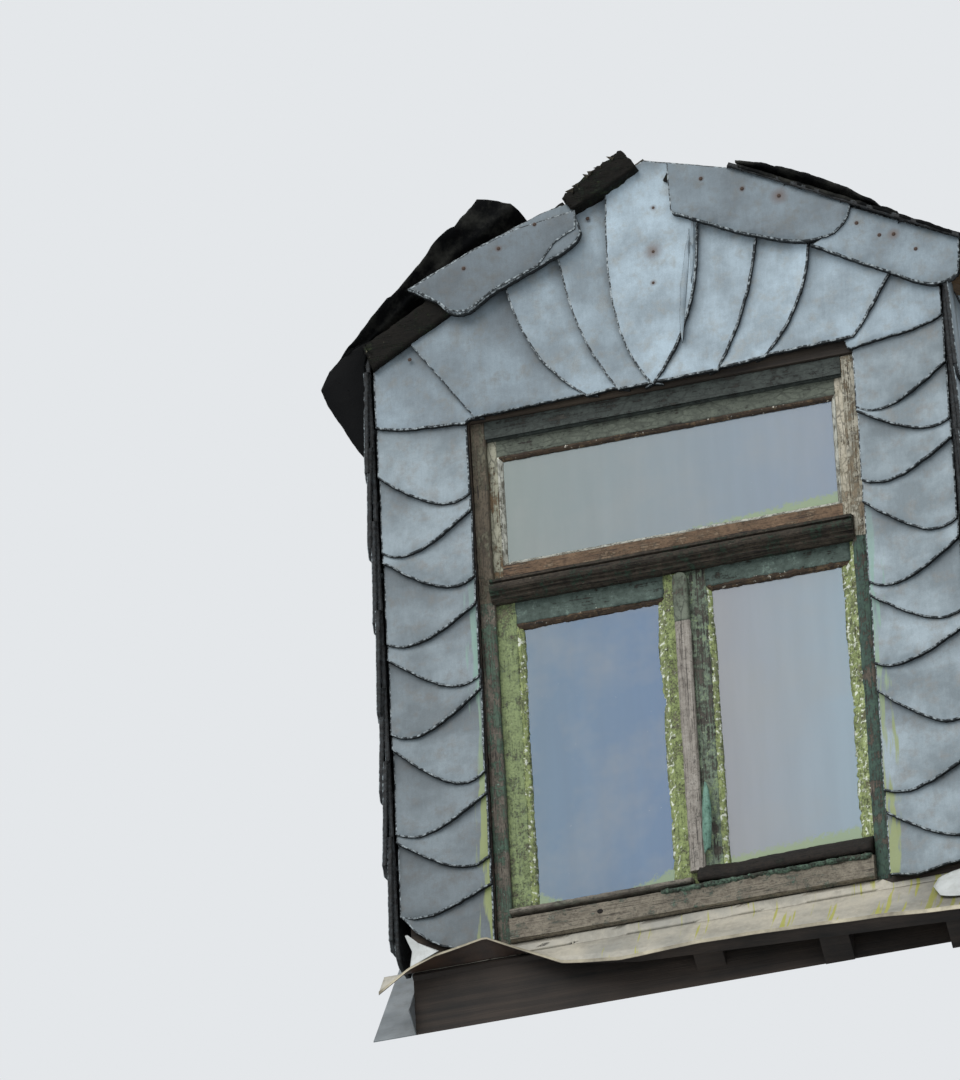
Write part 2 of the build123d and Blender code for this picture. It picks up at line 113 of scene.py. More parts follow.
def paint(swatch):
    """Linear colour of an sRGB hex value."""
    parts = [int(swatch[i:i + 2], 16) / 255 for i in (1, 3, 5)]
    return (*[c / 12.92 if c <= 0.04045 else ((c + 0.055) / 1.055) ** 2.4 for c in parts], 1.0)


def add(tree, kind, sockets=None, out=0, **settings):
    """One output of a new shader node. A socket gets a value, or a link from another node's output."""
    made = tree.nodes.new("ShaderNode" + kind)
    for name, value in settings.items():
        setattr(made, name, value)
    for name, value in (sockets or {}).items():
        if isinstance(value, bpy.types.NodeSocket):
            tree.links.new(value, made.inputs[name])
        else:
            made.inputs[name].default_value = value
    return made.outputs[out] if len(made.outputs) else None


def blank(name):
    """A material with nothing in it, and its tree."""
    material = bpy.data.materials.new(name)
    material.use_nodes = True
    material.node_tree.nodes.clear()
    return material, material.node_tree


# %% [markdown]
# ## Slate
# Slate is mudstone that splits into sheets. The split face is matt, faintly wavy and blue-grey, and old
# slates bleach to a pale grey with buff stains. The cut edge is flaked off by the slater's hammer: from the
# front it shows as a dark line with pale broken steps.
# The colour varies at three scales: from slate to slate, in clouds a hand wide, and in specks of a few
# millimetres. Each slate carries two values in its mesh: its own tone, and how near a point is to the edge
# that lies open, because the covered end is painted darker, as shade from the slate that lies over it.

# %% Slate materials


# Width, height, distance in front of the slates' face, and spread of the rust, in millimetres.
nail_places = [
    (15, 1612, 4.8, 9), (9, 1509, 4.8, 26), (5, 1436, 4.8, 9), (-127, 1618, 3, 10), (-525, 1366, 2, 8),
    (124, 1650, 22, 8), (210, 1608, 22, 9), (287, 1575, 22, 24), (445, 1480, 16, 7), (491, 1442, 16, 7),
    (521, 1438, 16, 16), (565, 1394, 16, 7), (-392, 1542, 27, 8), (-315, 1573, 27, 10), (-235, 1614, 27, 7),
]


def green_runs(tree, place, body):
    """Algae that the rain has washed down beside the window: blue-green above and yellow-green below."""
    axes = add(tree, "SeparateXYZ", {0: place}).node.outputs
    side = add(tree, "Math", {0: axes["X"]}, operation="ABSOLUTE")
    near = add(tree, "MapRange", {"Value": side, "From Min": 0.462, "From Max": 0.412, "To Max": 0.42})
    long = add(tree, "Mapping", {"Vector": place, "Scale": (85.0, 85.0, 4.5)})
    run = add(tree, "TexNoise", {"Vector": long, "Scale": 1.0, "Detail": 3.0})
    wet = add(tree, "Math", {0: near, 1: run}, operation="ADD")
    wet = add(tree, "MapRange", {"Value": wet, "From Min": 0.76, "From Max": 0.86, "To Max": 0.75})
    low = add(tree, "MapRange", {"Value": axes["Z"], "From Min": foot + 0.86, "From Max": foot + 0.7})
    wet = add(tree, "Math", {0: wet, 1: low}, operation="MULTIPLY")
    drop = add(tree, "MapRange", {"Value": axes["Z"], "From Min": foot + 0.3, "From Max": foot + 0.6})
    green = add(tree, "Mix", {0: drop, 6: paint("#929c58"), 7: paint("#84a898")}, data_type="RGBA", out=2)
    return add(tree, "Mix", {0: wet, 6: body, 7: green}, data_type="RGBA", out=2)


def slate_material(name, pale, mid, dark, stain, green=False, nails=()):
    """Riven slate. Its grain runs up the slate and is drawn coarser than the real one, so that it shows."""
    material, tree = blank(name)
    place = add(tree, "TexCoord", out="Object")
    tone = add(tree, "Attribute", attribute_name="tone", out="Fac")
    open_edge = add(tree, "Attribute", attribute_name="open_edge", out="Fac")
    cloud, blotch, speck = [
        add(tree, "TexNoise", {"Vector": place, "Scale": size, "Detail": detail, "Roughness": rough})
        for size, detail, rough in ((9.0, 4.0, 0.6), (34.0, 5.0, 0.65), (420.0, 3.0, 0.5))]
    stretched = add(tree, "Mapping", {"Vector": place, "Scale": (190.0, 190.0, 26.0)})
    grain = add(tree, "TexNoise", {"Vector": stretched, "Scale": 1.0, "Detail": 4.0})

    light = add(tree, "MapRange", {"Value": cloud, "From Min": 0.38, "From Max": 0.62})
    body = add(tree, "Mix", {0: light, 6: paint(mid), 7: paint(pale)}, data_type="RGBA", out=2)
    buff = add(tree, "MapRange", {"Value": blotch, "From Min": 0.5, "From Max": 0.7, "To Max": 0.5})
    body = add(tree, "Mix", {0: buff, 6: body, 7: paint(stain)}, data_type="RGBA", out=2)
    # Painted shade: towards its covered edge each slate is mixed into the dark colour, as the shadow of the
    # slate above.
    covered = add(tree, "MapRange", {"Value": open_edge, "From Min": 0.36, "From Max": 0.06, "To Max": 0.6})
    body = add(tree, "Mix", {0: covered, 6: body, 7: paint(dark)}, data_type="RGBA", out=2)
    for value, high, darkest, palest in ((speck, 0.75, 0.9, 1.07), (grain, 0.7, 0.95, 1.04)):
        level = add(tree, "MapRange", {
            "Value": value, "From Min": 0.3, "From Max": high, "To Min": darkest, "To Max": palest})
        body = add(tree, "VectorMath", {0: body, "Scale": level}, operation="SCALE")
    level = add(tree, "MapRange", {"Value": tone, "To Min": 0.5, "To Max": 1.2},
                clamp=False)
    body = add(tree, "VectorMath", {0: body, "Scale": level}, operation="SCALE")
    if green:
        body = green_runs(tree, place, body)
    rust = None
    for x, z, forward, spread in nails:
        reach = add(tree, "VectorMath", {0: place, 1: at(x, z, forward)}, operation="DISTANCE", out="Value")
        halo = add(tree, "MapRange", {"Value": reach, "From Min": spread * mm, "From Max": 0.0})
        rust = add(tree, "Math", {0: rust, 1: halo}, operation="MAXIMUM") if rust else halo
    if rust:
        rust = add(tree, "Math", {0: rust, 1: 0.85}, operation="MULTIPLY")
        body = add(tree, "Mix", {0: rust, 6: body, 7: paint("#5d4333")}, data_type="RGBA", out=2)

    low = add(tree, "Bump", {"Height": blotch, "Strength": 0.35, "Distance": 0.004})
    high = add(tree, "Bump", {"Height": grain, "Normal": low, "Strength": 0.18, "Distance": 0.0008})
    rough = add(tree, "MapRange", {
        "Value": cloud, "From Min": 0.3, "From Max": 0.7, "To Min": 0.5, "To Max": 0.68})
    shader = add(tree, "BsdfPrincipled", {"Base Color": body, "Roughness": rough, "Normal": high, "IOR": 1.5})
    add(tree, "OutputMaterial", {"Surface": shader})
    return material


def flaked_edge_material(name, pale, dark):
    """The flaked rim of a slate: thin broken steps, a few millimetres each, pale on top and dark between."""
    material, tree = blank(name)
    place = add(tree, "TexCoord", out="Object")
    step = add(tree, "TexNoise", {"Vector": place, "Scale": 130.0, "Detail": 4.0, "Roughness": 0.7})
    edge = add(tree, "MapRange", {"Value": step, "From Min": 0.46, "From Max": 0.62})
    body = add(tree, "Mix", {0: edge, 6: paint(dark), 7: paint(pale)}, data_type="RGBA", out=2)
    bump = add(tree, "Bump", {"Height": step, "Strength": 0.8, "Distance": 0.003})
    shader = add(tree, "BsdfPrincipled", {"Base Color": body, "Roughness": 0.7, "Normal": bump})
    add(tree, "OutputMaterial", {"Surface": shader})
    return material


slate = slate_material("riven_slate", "#aabbc5", "#84929a", "#353d42", "#8f8d84", nails=nail_places)
strip_slate = slate_material("riven_slate_with_algae", "#a6b4bb", "#7a878d", "#30373c", "#8a857d", green=True)
flaked_rim = flaked_edge_material("flaked_slate_rim", "#b0babd", "#262c2f")
# Painted shadow: the broken sides and the dark ring round each slate are near black, standing in for the
# shadow along the joints.
broken_side_painted_shadow = flaked_edge_material("broken_slate_side_painted_shadow", "#2a3033", "#0b0d0e")
print("slate:", slate.name, strip_slate.name, flaked_rim.name, broken_side_painted_shadow.name)

# %% [markdown]
# ## A slate
# A slate is a sheet of about 6 mm. Its outline is made of curves, sampled every few millimetres and made
# ragged by noise, because it was chopped and not sawn. The open edge stands in front of the next slate, and
# the covered one lies behind its neighbour, so each point's depth follows from its distances to the two.
# The hammer flakes the open edge off at a slant: a dark ring that falls away, with a thin pale ring of broken
# steps inside it. The dark ring and the slate's sides are painted near black, as the shadow along the joints.
# So the face is filled once and inset twice, and planes cut it into a grid, so that it can bulge a little.
# Then it gets its thickness, and one function lays it on its wall or roof.

# %% A slate
slate_thickness = 6.0
tone_spread = 0.24
grid = 26.0
chip_step = 7.0
# Shares of the thickness by which the rim and the steps fall away, and the share that is left at the rim.
rim_drop, step_drop, rim_left = 0.72, 0.26, 0.28


def curve(*points, step=chip_step):
    """Points every few millimetres along a straight line, or along a curve with two handles."""
    ends = [Vector((x, 0.0, z)) for x, z in points]
    steps = max(2, ceil(sum((b - a).length for a, b in zip(ends, ends[1:])) / step))
    if len(ends) == 4:
        return interpolate_bezier(*ends, steps + 1)
    return [ends[0].lerp(ends[-1], i / steps) for i in range(steps + 1)]


def joined(*curves):
    """Curves one after the other, without their doubled ends."""
    points = list(curves[0])
    for more in curves[1:]:
        points += [p for p in more if (p - points[-1]).length > 1.0]
    return points


def ragged(points, size, seed):
    """The same points, moved about by noise of two wavelengths."""
    out = []
    for p in points:
        coarse = noise.noise_vector(p * 0.035 + Vector((0, seed * 7.3, 0)))
        fine = noise.noise_vector(p * 0.16 + Vector((0, seed * 3.1, 5.0)))
        move = coarse * size + fine * size * 0.7
        out.append(p + Vector((move.x, 0, move.z)))
    return out


def depth_between(point, open_tree, covered_tree):
    """0 on the covered edge and 1 on the open one."""
    near, far = open_tree.find(point)[2], covered_tree.find(point)[2]
    return far / (near + far + 1e-6)


def tree_of(points):
    tree = KDTree(len(points))
    for i, p in enumerate(points):
        tree.insert(p, i)
    tree.balance()
    return tree


def ring_inside(bm, face, settled, width, spread, index, open_tree, seed):
    """Inset a face by a ring that is wide along the open edge, uneven, and thin elsewhere."""
    ring = bmesh.ops.inset_region(bm, faces=[face], thickness=width, use_even_offset=False,
                                   use_boundary=True)["faces"]
    for f in ring:
        f.material_index = index
    for v in {v for f in ring for v in f.verts} - settled:
        outer = next((e.other_vert(v) for e in v.link_edges if e.other_vert(v) in settled), None)
        if outer:
            chip = noise.noise(v.co * 0.05 + Vector((3.0, seed * 2.3,
                                                     index))) + 0.6 * noise.noise(v.co * 0.17)
            share = 1.0 + spread * chip if open_tree.find(v.co)[2] < 2.6 * width else 0.3
            v.co = outer.co.lerp(v.co, min(1.9, max(0.12, share)))
    settled |= {v for f in ring for v in f.verts}


def add_slate(bm, open_edge, rest, covered, front, back, seed, rim=6.0, flake=3.5, bulge=0.9, tone=0.5,
              thickness=slate_thickness, surface=at, cell=grid):
    """One slate into bm. open_edge is ragged, rest closes the outline, covered lies behind a neighbour."""
    start = set(bm.faces)
    edge = ragged(open_edge, 1.9, seed)
    open_tree, covered_tree = tree_of(edge), tree_of(covered)
    verts = [bm.verts.new(p) for p in edge + ragged(rest, 0.9, seed)]
    low = [min(v.co[i] for v in verts) for i in range(3)]
    high = [max(v.co[i] for v in verts) for i in range(3)]
    face = bm.faces.new(verts)
    settled = set(verts)
    ring_inside(bm, face, settled, 0.65 * rim, 0.8, 2, open_tree, seed)
    ring_inside(bm, face, settled, 0.5 * flake, 1.6, 1, open_tree, seed + 0.5)
    for axis, normal in ((0, Vector((1, 0, 0))), (2, Vector((0, 0, 1)))):
        for i in range(1, int((high[axis] - low[axis]) / cell) + 1):
            inner = [f for f in bm.faces if f not in start]
            parts = list({v for f in inner for v in f.verts}) + list({e for f in inner for e in f.edges})
            bmesh.ops.bisect_plane(bm, geom=parts + inner, plane_co=normal * (low[axis] + i * cell),
                                   plane_no=normal)
    new = [f for f in bm.faces if f not in start]
    border = {v for f in new for e in f.edges if e.is_boundary for v in e.verts}
    dark_ring = {v for f in new if f.material_index == 2 for v in f.verts}
    tone_layer, open_layer = bm.verts.layers.float["tone"], bm.verts.layers.float["open_edge"]
    own_tone = tone + (random.Random(seed).random() - 0.5) * tone_spread
    for v in {v for f in new for v in f.verts}:
        share = depth_between(v.co, open_tree, covered_tree)
        wave = noise.noise(v.co * 0.011 + Vector((seed * 1.7, 0, 0)))
        drop = rim_drop * thickness if v in border else step_drop * thickness if v in dark_ring else 0.0
        v.co.y = back + (front - back) * share + wave * bulge - drop
        v[tone_layer], v[open_layer] = own_tone, share
    grown = bmesh.ops.extrude_face_region(bm, geom=new)["geom"]
    for v in (g for g in grown if isinstance(g, bmesh.types.BMVert)):
        v.co.y -= rim_left * thickness if v in border else thickness
    kept = set(new)
    everything = [f for f in bm.faces if f not in start]
    for v in {v for f in everything for v in f.verts}:
        v.co = surface(v.co.x, v.co.z, v.co.y)
    for f in everything:
        f.material_index = f.material_index if f in kept else 2
        f.smooth = f in kept and f.material_index == 0
    bmesh.ops.recalc_face_normals(bm, faces=everything)


def new_mesh():
    """An empty bmesh whose points carry a slate's two values."""
    bm = bmesh.new()
    bm.verts.layers.float.new("tone")
    bm.verts.layers.float.new("open_edge")
    return bm


def finish_piece(bm, name, slot, materials, *nodes):
    """The bmesh as a piece of the object, in place of the frame's nodes."""
    mesh = bpy.data.meshes.new(name)
    bm.to_mesh(mesh)
    bm.free()
    piece = bpy.data.objects.new(name, mesh)
    bpy.context.scene.collection.objects.link(piece)
    for material in materials:
        mesh.materials.append(material)
    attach(piece, "root")
    if nodes:
        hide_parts(*nodes)
    print(name, len(mesh.polygons), "faces")
    return piece


def shifted(points, dx, dz=0.0):
    return [p + Vector((dx, 0, dz)) for p in points]


slate_set = [slate, flaked_rim, broken_side_painted_shadow]
strip_set = [strip_slate, flaked_rim, broken_side_painted_shadow]

# %% [markdown]
# ## The fan over the window
# Eight slates stand in a fan round one long slate in the middle, from which a thin leaf has split. The middle
# slate lies on top, and each next one tucks its inner edge behind its neighbour. The joints are curves with
# two handles, so each is four points, measured on the front.

# %% The fan
roof_pitch = radians(29.5)
under_boards = (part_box("gable_slates")[1].z - foot) / mm
lap = 22.0


def under_roof(x):
    return under_boards - tan(roof_pitch) * abs(x)


joint_1 = curve((-540, under_roof(540)), (-500, 1368), (-440, 1275), (-395, 1203))
joint_2 = curve((-322, under_roof(322)), (-300, 1400), (-260, 1290), (-152, 1205))
joint_3 = curve((-206, under_roof(206)), (-190, 1450), (-165, 1330), (-84, 1205))
joint_4 = curve((-86, under_roof(86)), (-95, 1500), (-105, 1330), (-12, 1203))
joint_5 = curve((104, under_roof(104)), (112, 1500), (100, 1330), (-8, 1203))
joint_6 = curve((238, under_roof(238)), (228, 1440), (195, 1320), (129, 1207))
joint_7 = curve((345, under_roof(345)), (340, 1400), (310, 1300), (229, 1217))
joint_8 = curve((543, under_roof(543)), (500, 1350), (455, 1275), (418, 1226))
corner_left = curve((-front_half, 1222), (-560, 1196), (-480, 1203), (-414, 1193))
corner_right = curve((front_half, 1241), (560, 1212), (470, 1214), (411, 1199))

fan = new_mesh()
left_fan = [(joint_1, joint_2), (joint_2, joint_3), (joint_3, joint_4)]
right_fan = [(joint_6, joint_5), (joint_7, joint_6), (joint_8, joint_7)]
fan_tones = (0.28, 0.42, 0.6, 0.85, 0.95, 0.6)
for seed, (outer, inner) in enumerate(left_fan + right_fan, 1):
    covered = shifted(inner, lap if outer[0].x < 0 else -lap)
    bottom = curve((outer[-1].x, outer[-1].z), (inner[-1].x, inner[-1].z + 4))[:-1]
    add_slate(fan, joined(outer, bottom), list(reversed(covered)), covered, 4.0, -7.5, seed,
              tone=fan_tones[seed - 1],
              rim=11.5, flake=7.5 if seed in (2, 3, 4, 5, 6) else 4.0)

top = under_roof(front_half)
add_slate(
    fan, corner_left, joined(curve((-405, 1203), (-386, 1203)), list(reversed(shifted(joint_1, 20))),
                             curve((-front_half, top), (-front_half, 1230))),
    shifted(joint_1, lap), 3.5, -7.0, 11, rim=12.0, flake=7.0, tone=0.34)
add_slate(
    fan, corner_right, joined(curve((402, 1205), (396, 1226)), list(reversed(shifted(joint_8, -lap))),
                              curve((front_half, top), (front_half, 1249))),
    shifted(joint_8, -lap), 3.5, -7.0, 12, rim=11.0, tone=0.55)
add_slate(fan, joined(joint_4, list(reversed(joint_5))), curve((84, under_roof(50)),
                                                               (0, under_boards - 2))[1:]
          + curve((-20, under_roof(20)), (-70, under_roof(72))), curve((-60, 1720), (60, 1720)), 6.0, 6.0, 13,
          rim=11.0, flake=7.0,
          tone=0.96)
split = curve((88, 1547), (72, 1470), (50, 1390), (58, 1284))
add_slate(fan, split, shifted(joint_5, -5)[9:38], shifted(split, 45), 7.6, 6.8, 14, rim=2.0, flake=1.4,
          thickness=3.0,
          tone=0.62)
finish_piece(fan, "gable_slate_fan", "slate", slate_set, "gable_slates")

# %% [markdown]
# ## The strips beside the window
# Beside the window the slates hang by turns from the outer and from the inner edge. Each joint falls in a
# nearly straight line and hooks up again round a rounded corner. Its start height and its drop were read
# from the front, and the hook is the same formula for all.

# %% The strips
left_joints = [(1102, 86), (992, 78), (905, 81), (775, 70), (681, 86), (580, 84), (474, 100), (339, 69),
               (262, 78),
               (135, 49)]
right_joints = [(1131, 81), (1053, 65), (956, 73), (844, 88), (725, 78), (628, 76), (525, 61), (414, 95),
                (240, 62),
                (138, 75)]
inner_edge = window_half + 2.0
strip_tone = 0.54


def hook(start_x, end_x, z, drop):
    """A joint that falls from its start and hooks up at its end."""
    across = end_x - start_x
    return curve((start_x, z), (start_x + 0.45 * across, z - 0.85 * drop),
                 (start_x + 0.75 * across, z - 1.32 * drop),
                 (end_x, z - 0.84 * drop))


for side, name, starts, upper, tone_step_per_row, last in (
    (-1, "left", left_joints, corner_left, 0.06, [(-front_half, 98), (-574, 52), (-521, 13), (-460, -9),
                                                  (-inner_edge, -9)]),
    (1, "right", right_joints, corner_right, -0.012, [(front_half, 4), (530, 0), (470, -11), (-1, -11),
                                                      (inner_edge, -3)]),
):
    strip = new_mesh()
    joints = [upper]
    for i, (z, drop) in enumerate(starts):
        ends = (side * front_half, side * inner_edge)
        start, end = ends if i % 2 == 0 else ends[::-1]
        line = hook(start, end, z, drop)
        joints.append(line if i % 2 == 0 else list(reversed(line)))
    if side < 0:
        joints.append(joined(curve(last[0], last[1]), curve(last[1], last[2]), curve(last[2], last[3]),
                             curve(last[3], last[4])))
    else:
        joints.append(joined(curve(last[0], last[1]), curve(last[1], last[2]), curve(last[2], last[4])))
    for i, (above, below) in enumerate(zip(joints, joints[1:])):
        covered = list(reversed(shifted(above, 0, lap)))
        sides = joined(curve((below[-1].x, below[-1].z + 6), (covered[0].x, covered[0].z - 4)), covered,
                       curve((covered[-1].x, covered[-1].z - 4), (below[0].x, below[0].z + 6)))
        # Each row's tone changes by this step on the way down: it drops on the left and rises a little on the
        # right.
        add_slate(strip, below, sides, covered, 4.5, -8.0, 20 * side + i + 60, rim=12.5, flake=5.5,
                  tone=strip_tone - tone_step_per_row * i)
    finish_piece(strip, f"strip_slates_{name}", "slate", strip_set, f"front_slates_{name}")

# %% [markdown]
# ## Slates that cover the verge
# The slater closed the end of the roof with large slates, nailed to the barge board. Two are left on the
# right, the upper one lapping over the lower. The left one hangs loose and has split, so it is two leaves,
# the top one thinner and smaller. Each is the same slate as before with an outline of its own.

# %% Verge slates
verge_face = forward_of("verge_slates_right")
verge_thickness = 8.0
verge = new_mesh()

upper_open = joined(curve((54, 1594), (58, 1583)), curve((58, 1583), (189, 1511)),
                    curve((189, 1511), (282, 1470), (330, 1446), (393, 1462)),
                    curve((393, 1462), (420, 1474), (432, 1500), (436, 1526)))
upper_top = joined(curve((436, 1526), (312, 1603)), curve((312, 1603), (198, 1661)),
                   curve((198, 1661), (52, 1706)),
                   curve((52, 1706), (54, 1602)))
lower_open = joined(curve((344, 1449), (446, 1388)), curve((446, 1388), (558, 1320)),
                    curve((558, 1320), (600, 1296), (640, 1300), (652, 1330)),
                    curve((652, 1330), (659, 1402)))
lower_top = joined(curve((659, 1402), (436, 1522)), curve((436, 1522), (383, 1470)),
                   curve((383, 1470), (352, 1452)))
loose_open = joined(curve((-517, 1521), (-448, 1468)), curve((-448, 1468), (-430, 1440), (-405, 1432),
                                                             (-385, 1440)),
                    curve((-385, 1440), (-328, 1476)), curve((-328, 1476), (-195, 1530)),
                    curve((-195, 1530), (-158, 1545), (-142, 1560), (-138, 1580)))
loose_top = joined(curve((-138, 1580), (-157, 1652)), curve((-157, 1652), (-223, 1640)),
                   curve((-223, 1640), (-377, 1584)), curve((-377, 1584), (-510, 1524)))
leaf_open = joined(curve((-511, 1520), (-447, 1470)), curve((-447, 1470), (-430, 1444), (-404, 1437),
                                                            (-384, 1444)),
                   curve((-384, 1444), (-328, 1480)), curve((-328, 1480), (-233, 1515)),
                   curve((-233, 1515), (-194, 1564)), curve((-194, 1564), (-148, 1586)))
leaf_top = joined(curve((-148, 1586), (-147, 1630)), curve((-147, 1630), (-277, 1613)),
                  curve((-277, 1613), (-377, 1580)), curve((-377, 1580), (-504, 1522)))
far_up = 300.0
for open_edge, top_edge, lift, seed, thickness, tone in (
    (lower_open, lower_top, -3, 22, verge_thickness, 0.2),
    (upper_open, upper_top, 3, 21, verge_thickness, 0.14),
    (loose_open, loose_top, 5, 23, verge_thickness, -0.1),
    (leaf_open, leaf_top, 8, 24, verge_thickness / 2, -0.2),
):
    add_slate(verge, open_edge, top_edge[1:], shifted(top_edge, 0, far_up), verge_face + lift,
              verge_face + lift - 6,
              seed, rim=11.0, flake=6.0, tone=tone, thickness=thickness)
finish_piece(verge, "verge_slates_cut", "slate", slate_set, "verge_slates_left", "verge_slates_right")

# %% [markdown]
# ## Nails
# Each big slate hangs on iron nails with flat round heads. A head is a small sphere, flattened, and the rust
# that has run out round it is in the slate's own material.

# %% Nails
nail_iron, tree = blank("rusty_nail_iron")
place = add(tree, "TexCoord", out="Object")
scale = add(tree, "TexNoise", {"Vector": place, "Scale": 900.0, "Detail": 3.0})
rust = add(tree, "Mix", {0: scale, 6: paint("#1f1b18"), 7: paint("#5b4436")}, data_type="RGBA", out=2)
shader = add(tree, "BsdfPrincipled", {"Base Color": rust, "Roughness": 0.75})
add(tree, "OutputMaterial", {"Surface": shader})
nails = new_mesh()
head_radius = 4.2
for x, z, forward, spread in nail_places:
    flat = Matrix.Translation(at(x, z, forward)) @ Matrix.Diagonal((1, 0.5, 1, 1))
    bmesh.ops.create_uvsphere(nails, u_segments=10, v_segments=6, radius=head_radius * mm, matrix=flat)
finish_piece(nails, "slate_nails", "slate", [nail_iron])

# %% [markdown]
# ## Rows of slates on the roof and on the cheeks
# A roof and a cheek are covered in rows, from the foot up. Each slate laps over the row below and over its
# neighbour, and has one rounded corner. A surface is a function that turns a place in the row, from the front
# and from the foot, into a place on the roof or the wall, so one loop covers all four sides. What reaches
# past the valley is cut off with a plane, and the cuts are closed. At the front corners of the cheeks,
# narrow slips of slate hang over each other, and their feet stand off the wall.

# %% Rows
main_pitch = radians(50)
valley_normal = Vector((0, sin(main_pitch), -cos(main_pitch)))
ridge_z = (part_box("roof_slates_right")[1].z - foot) / mm
cover_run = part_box("roof_slates_right")[1].x / mm / cos(roof_pitch)
roof_front = forward_of("roof_slates_right")
cheek_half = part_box("cheek_slates_right")[1].x / mm
cheek_nose = forward_of("cheek_slates_right")
slates_foot = -12.0
row_lap = 55.0
side_lap = 40.0
row_step = 13.0


def down_roof(side):
    """Places on one slope: the way down from the ridge, the height over the slates, and forwards."""
    def place(run, height, forward):
        return at(side * (run * cos(roof_pitch) + height * sin(roof_pitch)),
                  ridge_z - run * sin(roof_pitch) + height * cos(roof_pitch), forward)
    return place


def slate_rows(bm, surface, starts, length, rise, course, breadth, corner, seed, tone):
    """Rows over one side. corner is a point of the valley; slates that lie wholly behind it are left out."""
    rng = random.Random(seed)
    for row in range(ceil(rise / course)):
        low = row * course
        head = min(low + course + row_lap, rise)
        start = starts(row)
        while start < length:
            end = start + breadth * rng.uniform(0.8, 1.25)
            wave = rng.uniform(-5, 5)
            if (surface(start, head, 0.0) - corner).dot(valley_normal) < 0:
                back = end + side_lap
                foot_z = low + (wave if row else 0.0)
                edge = joined(
                    curve((start, head), (start, foot_z + 50), step=row_step),
                    curve((start, foot_z + 50), (start + 1, foot_z + 12), (start + 12, foot_z),
                          (start + 50, foot_z + 2)),
                    curve((start + 50, foot_z + 2), (back, foot_z), step=row_step))
                top_edge = joined(curve((back, foot_z + 8), (back, head), step=row_step),
                                  curve((back, head), (start + 14, head), step=row_step))
                add_slate(bm, edge, top_edge, top_edge, 0.5, -8.0, seed + row * 40 + int(start / 10), rim=6.0,
                          tone=tone, surface=surface, cell=70.0)
            start = end
    return bm


def cut_at_valley(bm, corner):
    bmesh.ops.bisect_plane(bm, geom=bm.verts[:] + bm.edges[:] + bm.faces[:], dist=1e-6, plane_co=corner,
                           plane_no=valley_normal, clear_outer=True)
    bmesh.ops.holes_fill(bm, edges=[e for e in bm.edges if e.is_boundary], sides=0)


def valley_corner(node):
    """A point of the valley's plane behind a piece, and how far it lies behind the slates' face."""
    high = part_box(node)[1]
    return Vector((0, high.y, high.z)), high.y / mm - slate_face / mm


def torn(run):
    """How far behind the roof's front the left slates start, a way down from the ridge."""
    line = [(-1, 146), (180, 146), (265, 256), (520, 306), (700, 236), (900, 246)]
    for (a, here), (b, there) in zip(line, line[1:]):
        if a <= run <= b:
            return here + (there - here) * (run - a) / (b - a)
    return line[-1][1]


roof_course, cheek_course, bare_run = cover_run / 6, 168.0, 240.0
slip_length, slip_depth = 255.0, 58.0
for side, hand in ((-1, "left"), (1, "right")):
    on_roof = down_roof(side)
    corner, behind = valley_corner(f"roof_slates_{hand}")
    back = behind + roof_front

    def roof_side(a, b, depth):
        return on_roof(cover_run - b, depth, roof_front - a)

    def roof_start(row):
        run = cover_run - (row + 0.5) * roof_course
        if side < 0:
            return torn(run) + 12 * noise.noise(Vector((row * 1.7, 0, 0)))
        return 141.0 if run < bare_run else 4.0 * noise.noise(Vector((row * 1.3, 3, 0)))

    roof = slate_rows(new_mesh(), roof_side, roof_start, back, cover_run, roof_course, 190.0, corner, 300,
                      0.4)
    cut_at_valley(roof, corner)
    finish_piece(roof, f"roof_slates_cut_{hand}", "slate", slate_set, f"roof_slates_{hand}")

    corner, behind = valley_corner(f"cheek_slates_{hand}")
    back = behind + cheek_nose
    rise = under_roof(cheek_half) - slates_foot

    def cheek_side(a, b, depth):
        return at(side * (cheek_half + depth), slates_foot + b, cheek_nose - a)

    def cheek_start(row):
        return 1.5 + 2.5 * noise.noise(Vector((row * 2.1, side, 0)))

    cheek = slate_rows(new_mesh(), cheek_side, cheek_start, back, rise, cheek_course, 200.0, corner, 500,
                       0.35)
    cut_at_valley(cheek, corner)

    rng = random.Random(40 + side)
    height = rise - slip_length - 30
    while height > 0:
        stand, nose = rng.uniform(7, 15), rng.uniform(-7, -2)

        def leaning(a, b, depth):
            """The foot of a slip stands off the wall, its head lies against it."""
            return cheek_side(a, b, depth + stand * (1 - (b - height) / slip_length))

        foot_edge = joined(curve((nose, height + slip_length), (nose + rng.uniform(-3, 3), height + 20)),
                           curve((nose, height + 20), (nose + 10, height)),
                           curve((nose + 10, height), (slip_depth, height + 6)))
        head_edge = joined(curve((slip_depth, height + 12), (slip_depth, height + slip_length)),
                           curve((slip_depth, height + slip_length), (nose + 6, height + slip_length)))
        add_slate(cheek, foot_edge, head_edge, head_edge, 4.0, 1.0, int(height) + 900, rim=3.0, flake=2.0,
                  tone=0.2,
                  surface=leaning)
        height -= rng.uniform(150, 215)
    finish_piece(cheek, f"cheek_slates_cut_{hand}", "slate", slate_set, f"cheek_slates_{hand}")

# %% [markdown]
# ## Old joinery
# A window is made of bars: jambs, a head, stiles and rails, each with its own section. A bar is one face
# that is extruded once and then cut across every few millimetres, so that noise can wear its edges and the
# crust of old paint can stand up in lumps.

# %% A bar


def section_points(corners, step):
    """The corners of a section, with more points on its long sides."""
    points = []
    for a, b in zip(corners, corners[1:] + corners[:1]):
        a, b = Vector(a), Vector(b)
        cuts = max(1, round((b - a).length / step))
        points += [a.lerp(b, i / cuts) for i in range(cuts)]
    return points


